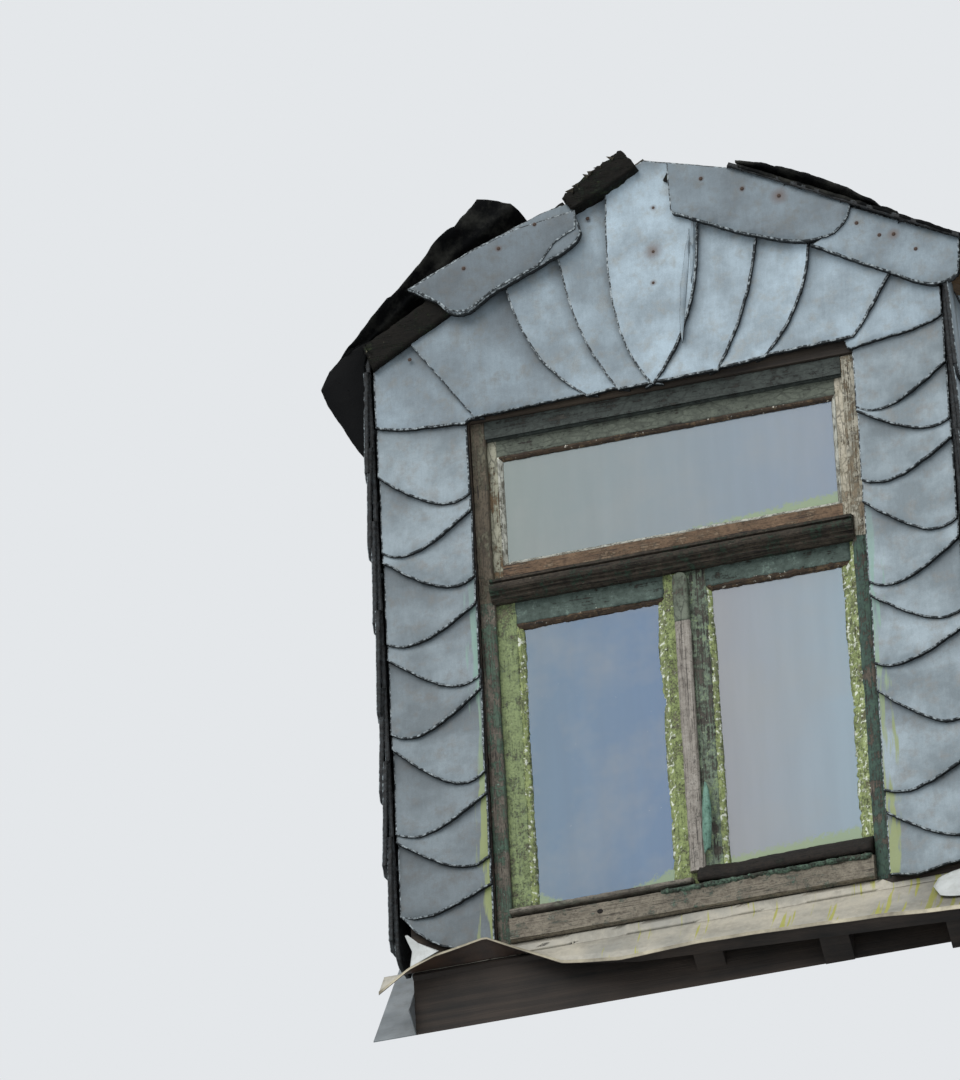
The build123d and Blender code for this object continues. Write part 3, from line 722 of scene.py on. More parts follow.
def bar(bm, corners, start, end, axis, worn=0.7, crust=0.0, step=8.0, seed=0, material=0, shape=None,
        surface=at):
    """A bar into bm. Its section, in mm, is (forward, height) along x, or (width, forward) along z."""
    old = set(bm.faces)
    points = section_points(corners, step)
    if axis == "x":
        ring = [bm.verts.new(Vector((start, -f, z))) for f, z in points]
        way = Vector((end - start, 0, 0))
    else:
        ring = [bm.verts.new(Vector((x, -f, start))) for x, f in points]
        way = Vector((0, 0, end - start))
    cap = bm.faces.new(ring)
    grown = bmesh.ops.extrude_face_region(bm, geom=[cap])["geom"]
    far = [g for g in grown if isinstance(g, bmesh.types.BMVert)]
    bmesh.ops.translate(bm, verts=far, vec=way)
    long_edges = [e for e in bm.edges if all(f not in old for f in e.link_faces)
                  and len({v in far for v in e.verts}) == 2]
    bmesh.ops.subdivide_edges(bm, edges=long_edges, cuts=max(1, round(way.length / step)), use_grid_fill=True)
    new = [f for f in bm.faces if f not in old]
    bmesh.ops.recalc_face_normals(bm, faces=new)
    verts = {v for f in new for v in f.verts}
    for v in verts:
        v.normal_update()
    for v in verts:
        bend = noise.noise_vector(v.co * 0.009 + Vector((seed, 0, 0))) * worn * 0.8
        nick = noise.noise(v.co * 0.12 + Vector((0, seed, 0)))
        lump = abs(noise.noise(v.co * 0.075 + Vector((0, 0, seed)))) + 0.7 * abs(noise.noise(v.co * 0.21))
        v.co += bend + v.normal * (min(nick, 0.15) * worn + lump * crust)
        if shape:
            shape(v)
    for v in verts:
        v.co = surface(v.co.x, v.co.z, -v.co.y)
    for f in new:
        f.material_index = material
        f.smooth = crust > 0
    return new


def chamfered(x0, x1, y0, y1, c=2.0):
    """A rectangle with its corners cut off."""
    return [(x0 + c, y0), (x1 - c, y0), (x1, y0 + c), (x1, y1 - c), (x1 - c, y1), (x0 + c, y1), (x0, y1 - c),
            (x0, y0 + c)]


# %% [markdown]
# ## Paint that peels
# Oil paint on a street window goes brittle, splits along and across the grain, and falls off in flakes.
# Below it the wood is grey or brown, with fine dark cracks along the grain. In the damp places algae and
# lichen grow over everything. So the material is built in those layers: wood, coat, cracks, growth.

# %% Weathered paint


def weathered(name, along, wood, wood_dark, coat, coat_dark, kept=0.5, growth=None, growth_share=0.0,
              crumbs=0.0,
              crumb="#dfe3d2", crack=0.5, crackle=0.6, pits=0.5, gloss=0.4):
    """Wood whose grain runs along an axis, with a share of its paint kept, growth over it and pale crumbs."""
    material, tree = blank(name)
    place = add(tree, "TexCoord", out="Object")
    scale, cell_scale = [330.0] * 3, [70.0] * 3
    scale["xyz".index(along)], cell_scale["xyz".index(along)] = 9.0, 24.0
    stretched = add(tree, "Mapping", {"Vector": place, "Scale": scale})
    grain = add(tree, "TexNoise", {"Vector": stretched, "Scale": 1.0, "Detail": 3.0, "Roughness": 0.6})
    patch, spot, chip = [
        add(tree, "TexNoise", {"Vector": place, "Scale": size, "Detail": detail, "Roughness": rough})
        for size, detail, rough in ((16.0, 6.0, 0.68), (62.0, 5.0, 0.7), (210.0, 4.0, 0.7))]

    share = add(tree, "Math", {0: grain, 1: spot}, operation="ADD")
    share = add(tree, "MapRange", {"Value": share, "From Min": 0.8, "From Max": 1.2})
    bare = add(tree, "Mix", {0: share, 6: paint(wood_dark), 7: paint(wood)}, data_type="RGBA", out=2)
    cleft = add(tree, "MapRange", {"Value": grain, "From Min": 0.4, "From Max": 0.34, "To Max": crack})
    bare = add(tree, "Mix", {0: cleft, 6: bare, 7: paint("#1a1714")}, data_type="RGBA", out=2)

    tint = add(tree, "Math", {0: patch, 1: spot}, operation="ADD")
    tint = add(tree, "MapRange", {"Value": tint, "From Min": 0.8, "From Max": 1.2})
    film = add(tree, "Mix", {0: tint, 6: paint(coat_dark), 7: paint(coat)}, data_type="RGBA", out=2)
    warp = add(tree, "Mapping", {"Vector": place, "Scale": cell_scale})
    cells = add(tree, "TexVoronoi", {
        "Vector": warp, "Scale": 1.0}, feature="DISTANCE_TO_EDGE", out="Distance")
    line = add(tree, "MapRange", {"Value": cells, "From Min": 0.09, "From Max": 0.03, "To Max": crackle})
    line = add(tree, "Math", {0: line, 1: tint}, operation="MULTIPLY")
    film = add(tree, "Mix", {0: line, 6: film, 7: paint("#191b17")}, data_type="RGBA", out=2)
    loss = add(tree, "Math", {0: patch, 1: spot}, operation="ADD")
    loss = add(tree, "Math", {0: loss, 1: grain}, operation="ADD")
    edge = 1.5 + (0.5 - kept) * 0.75
    left = add(tree, "MapRange", {"Value": loss, "From Min": edge - 0.035, "From Max": edge + 0.035})
    body = add(tree, "Mix", {0: left, 6: bare, 7: film}, data_type="RGBA", out=2)
    rim = add(tree, "MapRange", {"Value": loss, "From Min": edge - 0.11, "From Max": edge, "To Max": 0.55})
    rim = add(tree, "Math", {0: rim, 1: left}, operation="SUBTRACT", use_clamp=True)
    body = add(tree, "Mix", {0: rim, 6: body, 7: paint("#1f1d19")}, data_type="RGBA", out=2)
    height = add(tree, "Math", {0: left, 1: spot}, operation="ADD")

    if growth:
        edge = 1.5 + (0.5 - growth_share) * 0.75
        damp = add(tree, "Math", {0: patch, 1: chip}, operation="ADD")
        damp = add(tree, "Math", {0: damp, 1: spot}, operation="ADD")
        grown = add(tree, "MapRange", {"Value": damp, "From Min": edge - 0.1, "From Max": edge + 0.1})
        tuft = add(tree, "Math", {0: chip, 1: spot}, operation="ADD")
        tuft = add(tree, "MapRange", {"Value": tuft, "From Min": 0.82, "From Max": 1.18})
        green = add(tree, "Mix", {0: tuft, 6: paint(growth[0]), 7: paint(growth[1])}, data_type="RGBA", out=2)
        body = add(tree, "Mix", {0: grown, 6: body, 7: green}, data_type="RGBA", out=2)
    hole = add(tree, "MapRange", {"Value": chip, "From Min": 0.43, "From Max": 0.36, "To Max": pits})
    body = add(tree, "Mix", {0: hole, 6: body, 7: paint("#1c1d18")}, data_type="RGBA", out=2)
    if crumbs:
        flake = add(tree, "TexNoise", {"Vector": place, "Scale": 115.0, "Detail": 2.0})
        edge = 0.745 - crumbs * 0.4
        white = add(tree, "MapRange", {"Value": flake, "From Min": edge, "From Max": edge + 0.09})
        body = add(tree, "Mix", {0: white, 6: body, 7: paint(crumb)}, data_type="RGBA", out=2)
    relief = add(tree, "Bump", {"Height": height, "Strength": 0.75, "Distance": 0.0016})
    relief = add(tree, "Bump", {"Height": grain, "Normal": relief, "Strength": 0.5, "Distance": 0.001})
    relief = add(tree, "Bump", {"Height": chip, "Normal": relief, "Strength": 0.35, "Distance": 0.0012})
    shader = add(tree, "BsdfPrincipled", {"Base Color": body, "Roughness": 0.72, "Specular IOR Level": gloss,
                                                    "Normal": relief})
    add(tree, "OutputMaterial", {"Surface": shader})
    return material


green_lichen = ("#6c7753", "#8c9a6a")
dark_moss = ("#22322a", "#465f4e")

# %% [markdown]
# ## The window's fixed frame
# The head and the upper jambs still show olive and beige paint; the head is drawn darker still, as painted
# shade under the slates. Below the transom the jambs are deep green on the left and blue-green on the right,
# where the right one has swollen at its foot.

# %% Frame of the window
front_y = forward_of("window_frame")
back_y = forward_of("window_frame", back=True)
lip_y = forward_of("casement_left")
jamb_inner = 380.0
swell_height = 190.0
rebate_x = jamb_inner + 12.0
transom_foot = (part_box("transom")[0].z - foot) / mm
head_inner = window_head - 42.0

# The head's dark colours are partly its olive paint and partly painted shade under the slates.
olive_head_painted_shade = weathered("olive_paint_head_painted_shade", "x", "#56544b", "#2c2b26", "#434a45", "#282e2b", kept=0.7,
                       crack=0.7)
jamb_brown = weathered("bare_jamb_brown", "z", "#786d5b", "#443b2f", "#656150", "#4a4738", kept=0.45,
                       crack=0.8)
jamb_beige = weathered("beige_paint_jamb", "z", "#aea48f", "#75664f", "#b8b2a1", "#908b78", kept=0.55,
                       crack=0.7)
jamb_green = weathered("deep_green_jamb", "z", "#8b8274", "#4f483f", "#5c6d5c", "#36463b", kept=0.46,
                       growth=dark_moss,
                       growth_share=0.3, crumbs=0.12, crumb="#86a292", crack=0.9)
jamb_teal = weathered("blue_green_jamb", "z", "#8d8071", "#4c443a", "#4b6257", "#2b4038", kept=0.62,
                      growth=dark_moss,
                      growth_share=0.35, crack=0.8)

window = bmesh.new()
for side, upper, lower in ((-1, 1, 3), (1, 2, 4)):
    outer, inner, step_back = side * window_half, side * jamb_inner, side * rebate_x

    def swollen(v):
        """The right jamb swells outwards above its foot."""
        if side > 0 and v.co.z < swell_height and abs(v.co.x) > jamb_inner + 4:
            bulge = sin(pi * min(1.0, max(0.0, (swell_height - v.co.z) / swell_height)) ** 0.8)
            v.co.x += 9.0 * bulge
            v.co.y -= 5.0 * bulge

    corners = [(outer, front_y), (outer, back_y), (step_back, back_y), (step_back, lip_y), (inner, lip_y),
               (inner, front_y - 2), (inner + side * 2, front_y)]
    bar(window, corners, transom_foot + 6, window_head, "z", worn=1.0, seed=3 * side, material=upper)
    bar(window, corners, 0.0, transom_foot + 6, "z", worn=1.6, crust=1.2, seed=5 * side, material=lower,
        shape=swollen)
head = [(front_y, head_inner + 2), (front_y, window_head), (back_y, window_head), (back_y, head_inner + 12),
        (lip_y, head_inner + 12), (lip_y, head_inner), (front_y - 6, head_inner),
        (front_y - 6, head_inner + 7)]
bar(window, head, -jamb_inner, jamb_inner, "x", worn=0.9, seed=9, material=0)
finish_piece(window, "window_frame_worn", "peeling_paint", [olive_head_painted_shade, jamb_brown, jamb_beige, jamb_green,
                                                            jamb_teal],
             "window_frame")

# %% [markdown]
# ## Sashes
# The top light keeps pale stiles and an orange-brown bottom rail whose paint is gone. The casements are
# overgrown: yellow-green lichen covers the stiles next to the glass.

# %% Top sash
sash_back = forward_of("top_sash", back=True)
glass_front = forward_of("window_glass")
stile_pale = weathered("pale_stile", "z", "#a58c6c", "#6f5a40", "#a8a692", "#7d7c68", kept=0.6, crack=0.6)
stile_beige = weathered("beige_stile", "z", "#c4bba8", "#8e8069", "#c9c1ae", "#98917b", kept=0.66, crack=0.7)
rail_orange = weathered("bare_orange_rail", "x", "#8f7459", "#523e2d", "#84705a", "#645541", kept=0.3,
                        crack=1.0)
rail_olive = weathered("olive_rail", "x", "#7a7362", "#45413a", "#676d60", "#494e45", kept=0.8, crack=0.7)
# The edges of each pane, as far as it shows: left, right, foot and head.
top_sight = (-352.5, 352.5, 851.0, 1114.0)
left_sight = (-331.0, -33.0, 88.0, 722.0)
right_sight = (72.0, 361.0, 96.0, 730.0)
bead = 8.0
# The top light's bottom rail covers the foot of its pane by this much.
rail_rise = 27.0
top_opening = (top_sight[0], top_sight[1], top_sight[2] + rail_rise, top_sight[3])


def sash(bm, node, sight, members, seed, crust=(0, 0, 0, 0)):
    """Stiles between rails. members are the materials of left and right stile, bottom and top rail."""
    low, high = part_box(node)
    x0, x1 = low.x / mm, high.x / mm
    z0, z1 = (low.z - foot) / mm, (high.z - foot) / mm
    sx0, sx1, sz0, sz1 = sight[0] - bead, sight[1] + bead, sight[2] - bead, sight[3] + bead
    f, b, g = lip_y, sash_back, glass_front - 4.0
    left = [(x0, f), (x0, b), (sx0 + bead, b), (sx0 + bead, g), (sx0, g), (sx0, f - 1), (sx0 - 2, f)]
    right_side = [(x1, f), (x1, b), (sx1 - bead, b), (sx1 - bead, g), (sx1, g), (sx1, f - 1), (sx1 + 2, f)]
    bottom = [(f, z0), (b, z0), (b, sz0 + bead), (g, sz0 + bead), (g, sz0), (f - 1, sz0), (f, sz0 - 2)]
    top = [(f, z1), (b, z1), (b, sz1 - bead), (g, sz1 - bead), (g, sz1), (f - 1, sz1), (f, sz1 + 2)]
    bar(bm, left, z0, z1, "z", worn=1.1, crust=crust[0], seed=seed, material=members[0])
    bar(bm, right_side, z0, z1, "z", worn=1.1, crust=crust[1], seed=seed + 1, material=members[1])
    bar(bm, bottom, sx0 - 0.4, sx1 + 0.4, "x", worn=1.0, crust=crust[2], seed=seed + 2, material=members[2])
    bar(bm, top, sx0 - 0.4, sx1 + 0.4, "x", worn=1.0, crust=crust[3], seed=seed + 3, material=members[3])


top_light = bmesh.new()
sash(top_light, "top_sash", top_opening, (0, 1, 2, 3), 30)
finish_piece(top_light, "top_sash_worn", "peeling_paint", [stile_pale, stile_beige, rail_orange, rail_olive],
             "top_sash")

# %% Casements
lichen_stile = weathered("lichen_stile", "z", "#7d7a60", "#4c4a3a", "#8a997c", "#697862", kept=0.55,
                         growth=green_lichen,
                         growth_share=0.62, crumbs=0.1, crumb="#cdd3b4", crack=0.8)
lichen_thick = weathered("thick_lichen_stile", "z", "#7d7a60", "#4c4a3a", "#8c9763", "#636f4b", kept=0.5,
                         growth=("#717d4e", "#97a469"), growth_share=0.6, crumbs=0.26, crack=0.6)
crazed_green = weathered("crazed_green_stile", "z", "#7c756a", "#39362e", "#7d8b78", "#525e50", kept=0.6,
                         growth=("#3e5242", "#8b9c70"), growth_share=0.3, crumbs=0.12, crumb="#c5d0ae",
                         crack=1.0)
rail_blue_green = weathered("blue_green_rail", "x", "#6c675a", "#3b372f", "#5d6c64", "#3d4a43", kept=0.8,
                            growth=("#46594f", "#7b8f84"), growth_share=0.14, crumbs=0.04, crack=0.5,
                            crackle=0.25)
rail_low = weathered("low_rail", "x", "#8b7c69", "#4d4337", "#5c6647", "#414b33", kept=0.35,
                     growth=green_lichen,
                     growth_share=0.35, crack=0.8)
stile_white_green = weathered("white_green_stile", "z", "#8f8d6c", "#57553c", "#8d9a62", "#66724a", kept=0.55,
                              growth=("#7c884f", "#b1bd86"), growth_share=0.55, crumbs=0.46, crumb="#e6ebd8",
                              crack=0.7)

left_leaf = bmesh.new()
sash(left_leaf, "casement_left", left_sight, (0, 1, 2, 3), 40, crust=(1.4, 3.0, 0.5, 0.8))
finish_piece(left_leaf, "casement_left_worn", "peeling_paint", [lichen_stile, lichen_thick, rail_low,
                                                                rail_blue_green],
             "casement_left")
right_leaf = bmesh.new()
sash(right_leaf, "casement_right", right_sight, (0, 1, 2, 3), 50, crust=(1.4, 2.4, 0.5, 0.8))
finish_piece(right_leaf, "casement_right_worn", "peeling_paint",
             [crazed_green, stile_white_green, rail_low, rail_blue_green], "casement_right")

# %% [markdown]
# ## Putty
# Glass is held by putty, a chalk paste pressed into the corner and cut off at a slope. Old putty breaks out
# in crumbs. Here it is a bar with a three-cornered section, thin and white round the top light and thick
# and torn round the casements.

# %% Putty
putty_white = weathered("white_putty", "z", "#b3b1a2", "#736f62", "#c4c4b8", "#8f8e80", kept=0.6, crumbs=0.12,
                        crack=0.6)
putty_brown = weathered("brown_putty", "x", "#5a4633", "#261d15", "#66533d", "#382c20", kept=0.4, crumbs=0.16,
                        crumb="#d6d0c0", crack=0.9)
putty_green = weathered("lichen_putty", "z", "#9ea27c", "#5b6343", "#aeb48e", "#717b4d", kept=0.5,
                        growth=("#74804c", "#a4b074"), growth_share=0.55, crumbs=0.46, crumb="#e6ead9",
                        crack=0.7)


def putty(bm, sight, seed, widths, materials, worn=1.0):
    """Four three-cornered bars in the corner of glass and wood: left, right, bottom and top."""
    f, g = lip_y - 1.0, glass_front
    x0, x1, z0, z1 = sight
    ends = ((x0, 1, "z"), (x1, -1, "z"), (z0, 1, "x"), (z1, -1, "x"))
    for i, ((edge, inward, axis), width, material) in enumerate(zip(ends, widths, materials)):
        if not width:
            continue
        o, w = edge - inward * bead, edge + inward * width
        if axis == "z":
            bar(bm, [(o, f), (o, g), (w, g), (edge, g + 2.5)], z0 - bead, z1 + bead, "z", worn=worn,
                crust=worn,
                step=6.0, seed=seed + i, material=material)
        else:
            bar(bm, [(f, o), (g, o), (g, w), (g + 2.5, edge)], x0 - bead, x1 + bead, "x", worn=worn,
                crust=worn,
                step=6.0, seed=seed + i, material=material)


putties = bmesh.new()
putty(putties, top_opening, 60, (2.0, 2.0, 1.0, 0.6), (0, 0, 0, 1), worn=1.2)
putty(putties, left_sight, 70, (5.0, 10.0, 2.0, 3.0), (2, 2, 2, 1), worn=3.0)
putty(putties, right_sight, 80, (3.0, 12.0, 1.0, 1.5), (2, 2, 2, 1), worn=3.0)
finish_piece(putties, "putty_beads", "peeling_paint", [putty_white, putty_brown, putty_green])

# %% [markdown]
# ## Transom, sill, weather bars and cover strip
# The transom is a moulding with fine grooves, split by the weather; its dark colour is partly weathered wood
# and partly painted shade. The weather bars throw the rain clear of the casements' foot; the right one is
# black and sags. The cover strip is bare grey wood, with paint left only on its rounded head.

# %% Transom
transom_reach = forward_of("transom")
# Its dark colours are partly weathered wood and partly painted shade.
transom_weathered_and_shaded = weathered("split_transom_weathered_and_shaded", "x", "#554c41", "#1f1b17", "#3d4238", "#20231d", kept=0.35,
                         crumbs=0.05,
                         crumb="#8f8a7a", growth=("#16231b", "#33483a"), growth_share=0.24, crack=1.0,
                         gloss=0.2)
# How far each point of the moulding lies behind its foremost one, and its height, in millimetres.
moulding = [(5, 49), (5, 43), (10, 41), (10, 38), (2, 36), (0, 31), (0, 25), (3, 20), (9, 18), (9, 14),
            (15, 12),
            (15, 6)]
profile = [(front_y, 55), *[(transom_reach - behind, z) for behind, z in moulding], (front_y, 0),
           (sash_back, 12),
           (sash_back, 43)]
transom = bmesh.new()
bar(transom, [(f, transom_foot + z) for f, z in profile], -jamb_inner - 3, jamb_inner + 5, "x", worn=1.2,
    step=5.0,
    seed=90)
finish_piece(transom, "transom_worn", "peeling_paint", [transom_weathered_and_shaded], "transom")

# %% Sill and weather bars
sill_reach = forward_of("window_sill")
sill_top = 60.0
hole_x, hole_z, hole_radius = -190, 32, 6.5
sill_brown = weathered("bare_brown_sill", "x", "#968d7c", "#5b5347", "#77766a", "#565549", kept=0.3,
                       growth=dark_moss,
                       growth_share=0.16, crack=0.8)
bar_black = weathered("blackened_bar", "x", "#2f2822", "#110f0d", "#25261f", "#131411", kept=0.3, crack=0.9,
                      gloss=0.2)
bar_grey = weathered("grey_bar", "x", "#8d8679", "#4d473e", "#6f6f61", "#4d4d42", kept=0.3, crack=0.9)
moss_crust = weathered("moss_crust", "x", "#4a4c3e", "#23261f", "#49564a", "#2a332b", kept=0.5,
                        growth=("#2b3a30", "#5c7361"), growth_share=0.5, crumbs=0.05, crumb="#86a08c",
                       crack=0.7)
sill = bmesh.new()
bar(sill, [(sill_reach, 4), (sill_reach, sill_top - 9), (front_y, sill_top), (sash_back, sill_top),
           (sash_back, 1),
           (sill_reach - 10, 1)], -jamb_inner, jamb_inner, "x", worn=1.0, seed=95)
# A hole in the sill's face is a flat black disc: its dark is painted shade inside the hole.
old = set(sill.faces)
hole_disc = Matrix.Translation(at(hole_x, hole_z, sill_reach - 0.2)) @ Matrix.Diagonal((1, 0.12, 0.8, 1))
bmesh.ops.create_uvsphere(sill, u_segments=12, v_segments=8, radius=hole_radius * mm, matrix=hole_disc)
for f in set(sill.faces) - old:
    f.material_index = 1
finish_piece(sill, "sill_worn", "bare_window_wood", [sill_brown, bar_black], "window_sill")

bar_reach = forward_of("weather_bars")
bar_low = sill_top + 1.0
meeting_x = 12.0
sag_x, sag_drop = 95, 5.0
bars = bmesh.new()


def sag(v):
    """The right bar hangs down a little beside the cover strip."""
    near = max(0.0, 1 - abs(v.co.x - sag_x) / sag_x)
    v.co.z -= sag_drop * near * near


bar(bars, [(bar_reach, bar_low), (bar_reach, bar_low + 9), (lip_y + 14, bar_low + 17), (lip_y, bar_low + 19),
           (lip_y, bar_low)],
    -jamb_inner + 2, meeting_x - 10, "x", worn=1.5, crust=0.5, seed=100, material=1)
bar(bars, [(bar_reach, bar_low), (bar_reach, bar_low + 15), (lip_y + 20, bar_low + 33),
           (lip_y + 8, bar_low + 44),
           (lip_y, bar_low + 44), (lip_y, bar_low)],
    meeting_x + 4, jamb_inner - 2, "x", worn=2.0, crust=0.6, seed=101, material=0, shape=sag)
bar(bars, [(sill_reach + 1, 47), (sill_reach + 5, 52), (front_y + 2, 62), (front_y - 2, 60),
           (front_y - 2, 47)],
    -60, jamb_inner - 4, "x", worn=3.0, crust=5.0, step=5.0, seed=102, material=2)
finish_piece(bars, "weather_bars_worn", "bare_window_wood", [bar_black, bar_grey, moss_crust], "weather_bars")

# %% Cover strip
strip_face = forward_of("cover_strip")
strip_wood = weathered("bare_grey_strip", "z", "#aaa399", "#777067", "#918a80", "#78726a", kept=0.15,
                       crack=0.7)
strip_head = weathered("painted_strip_head", "z", "#8b8375", "#5b5348", "#747b6b", "#525a4c", kept=0.75,
                       crack=0.6)
low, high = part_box("cover_strip")
x0, x1, z0, z1 = low.x / mm, high.x / mm, (low.z - foot) / mm, (high.z - foot) / mm
cover = bmesh.new()


def round_head(v):
    """The strip's end is a half round."""
    half, middle = (x1 - x0) / 2, (x0 + x1) / 2
    top = z1 - half + (max(0.0, half * half - (v.co.x - middle) ** 2)) ** 0.5
    v.co.z = min(v.co.z, top)


painted_length = 110
section = chamfered(x0, x1, lip_y - 0.5, strip_face, 3.5)
bar(cover, section, z0, z1 - painted_length, "z", worn=1.4, step=6.0, seed=110, material=0)
bar(cover, section, z1 - painted_length, z1, "z", worn=1.2, crust=0.6, step=4.0, seed=111, material=1,
    shape=round_head)
finish_piece(cover, "cover_strip_worn", "peeling_paint", [strip_wood, strip_head], "cover_strip")

# %% [markdown]
# ## Roof boards and the broken edge
# Under the slates lie boards, nailed to the rafters from front to back. At the front the left slates are
# gone, so the boards show, and a stub sticks out near the ridge, black with moss and splintered on top.
# A board is a bar again. Its long way runs back into the roof, which takes one more surface function. The
# splinters are small cones that lean with the grain, and the worn barge board is a bar down the slope.

# %% Roof boards
rotten = weathered("mossy_rotten_board", "x", "#1e1b16", "#0c0b09", "#161a15", "#0b0d0a", kept=0.4,
                   growth=("#12170f", "#2b321f"), growth_share=0.2, crumbs=0.03, crumb="#77735f", crack=1.0,
                   gloss=0.12)
old_board = weathered("grey_roof_board", "y", "#5d5447", "#2a251e", "#41413a", "#262720", kept=0.25,
                      growth=("#1d2318", "#434b31"), growth_share=0.22, crack=1.0, gloss=0.2)
splintered = weathered("splintered_wood", "x", "#5f5848", "#25201a", "#454034", "#27241e", kept=0.3,
                       crack=0.9, gloss=0.2)
left_slope, right_slope = down_roof(-1), down_roof(1)
boards_top, boards_foot, board_gap = -14.5, -42.0, 3.0
left_boards = [(1, 18, -98), (18, 107, -36), (107, 196, -36), (196, 316, -3), (316, 436, -14), (436, 556, -5),
               (556, 676, -22), (676, 795, -2)]
right_boards = [(1, 105, -98), (105, 210, -104), (210, 327, -3), (327, 444, -3), (444, 561, -3),
                (561, 678, -3),
                (678, 795, -3)]
for slope, boards, hand in ((left_slope, left_boards, "left"), (right_slope, right_boards, "right")):
    corner, length = valley_corner(f"roof_slates_{hand}")
    planks = bmesh.new()
    for i, (start, end, front) in enumerate(boards):
        section = [(start + board_gap, boards_foot), (start + board_gap, boards_top), (end, boards_top),
                   (end, boards_foot)]
        bar(planks, [(-run, height) for run, height in section], -front, length, "x", worn=1.2, step=24.0,
            seed=140 + i,
            surface=lambda back, height, run, slope=slope: slope(-run, height, -back))
    cut_at_valley(planks, corner)
    bmesh.ops.recalc_face_normals(planks, faces=planks.faces[:])
    finish_piece(planks, f"roof_boards_{hand}", "sawn_boards", [old_board], f"roof_boarding_{hand}")

# %% Stub and barge board
stub_run, stub_foot, stub_top = (46.0, 208.0), -60.0, -6.0
stub = bmesh.new()


def run_out(run):
    """How much lower the stub's top lies, a way down from the ridge."""
    return 10.0 * max(0.0, (run - 130) / 70) ** 1.3


def broken_stub(v):
    """The stub is thickest in its middle, its lower end runs out, and its top is torn into points."""
    if v.co.z > stub_top - 12:
        v.co.z -= run_out(v.co.x)
        v.co.z += 8.0 * max(0.0, noise.noise(Vector((v.co.x * 0.13, 0, 4)))) - 2.0
    if v.co.z < stub_foot + 12:
        v.co.z += 8.0 * max(0.0, (v.co.x - 120) / 80)
    if v.co.x < stub_run[0] + 12:
        v.co.x += 0.1 * (v.co.z - stub_foot)


bar(stub, [(roof_front + 1, stub_foot), (roof_front + 1, stub_top), (-40, stub_top), (-40, stub_foot)],
    *stub_run, "x",
    worn=2.5, crust=3.0, step=6.0, seed=120, shape=broken_stub, surface=left_slope)
rng = random.Random(12)
for i in range(8):
    run, size = 78 + 16.0 * i + rng.uniform(-5, 5), rng.uniform(12, 22)
    top = stub_top - run_out(run)
    lean = Matrix.Rotation(radians(rng.uniform(-85, -45)), 4, "Y")
    where = Matrix.Translation(left_slope(run, top + 1, roof_front - rng.uniform(0, 10)))
    old = set(stub.faces)
    bmesh.ops.create_cone(stub, cap_ends=True, segments=4, radius1=rng.uniform(6, 10) * mm, radius2=0.4 * mm,
                          depth=size * mm, matrix=where @ lean)
    for f in set(stub.faces) - old:
        f.material_index = 1
finish_piece(stub, "mossy_stub", "sawn_boards", [rotten, splintered])

barge_front, barge_run, barge_height = forward_of("barge_board_left"), (211.0, 735.0), (-74.5, -15.5)
barge = bmesh.new()


def broken_end(v):
    """The barge board's foot has rotted off in steps."""
    if v.co.x > barge_run[1] - 10:
        v.co.x -= 16.0 * abs(noise.noise(Vector((0, v.co.z * 0.08, 2)))) + 0.2 * (v.co.z - barge_height[0])


bar(barge, [(barge_front + 0.6, barge_height[0]), (barge_front + 0.6, barge_height[1]),
            (0.6, barge_height[1]),
            (0.6, barge_height[0])], *barge_run, "x", worn=2.0, crust=1.8, seed=130, shape=broken_end,
    surface=left_slope)
finish_piece(barge, "barge_board_worn", "weathered_boards", [rotten], "barge_board_left")

# %% [markdown]
# ## Tarred felt
# Roofing felt is a soft black sheet. Torn loose, it stands up along the verge, falls back to the roof behind
# and hangs down beside the corner. A sheet is a grid laid between guide lines and then given its thickness;
# a few waves and finer creases crumple it.

# %% A sheet between guide lines


def on_line(line, share):
    """The point at a share of the way along a line of points."""
    way = share * (len(line) - 1)
    i = min(int(way), len(line) - 2)
    return Vector(line[i]).lerp(Vector(line[i + 1]), way - i)


def across(lines, u, v):
    """A point on a surface through two or three guide lines."""
    points = [on_line(line, u) for line in lines]
    if len(points) == 2:
        return points[0].lerp(points[1], v)
    return (points[0] * (1 - v) * (1 - 2 * v) + points[1] * 4 * v * (1 - v) + points[2] * v * (2 * v - 1))


def crumple(p, size, seed):
    """Waves a hand wide, and creases a few centimetres apart."""
    wave = noise.noise_vector(p * 0.012 + Vector((0, 0, seed)))
    crease = noise.noise(p * 0.045 + Vector((seed, 0, 0)))
    return wave * size + Vector((0, 0, 1)) * (abs(crease) - 0.2) * size * 0.8


def sheet(bm, place, columns, rows, thickness, pick=lambda u, v: 0, under=0):
    """A grid whose points are placed by a function of two shares, with a thickness."""
    verts = bmesh.ops.create_grid(bm, x_segments=columns, y_segments=rows, size=0.5)["verts"]
    faces = list({f for v in verts for f in v.link_faces})
    for f in faces:
        middle = f.calc_center_median()
        f.material_index = pick(middle.x + 0.5, middle.y + 0.5)
    for v in verts:
        v.co = place(v.co.x + 0.5, v.co.y + 0.5)
    before = set(bm.faces)
    bmesh.ops.solidify(bm, geom=faces, thickness=thickness * mm)
    new = [f for f in bm.faces if f not in before]
    for f in new:
        f.material_index = under
    for f in faces + new:
        f.smooth = True
    bmesh.ops.recalc_face_normals(bm, faces=faces + new)


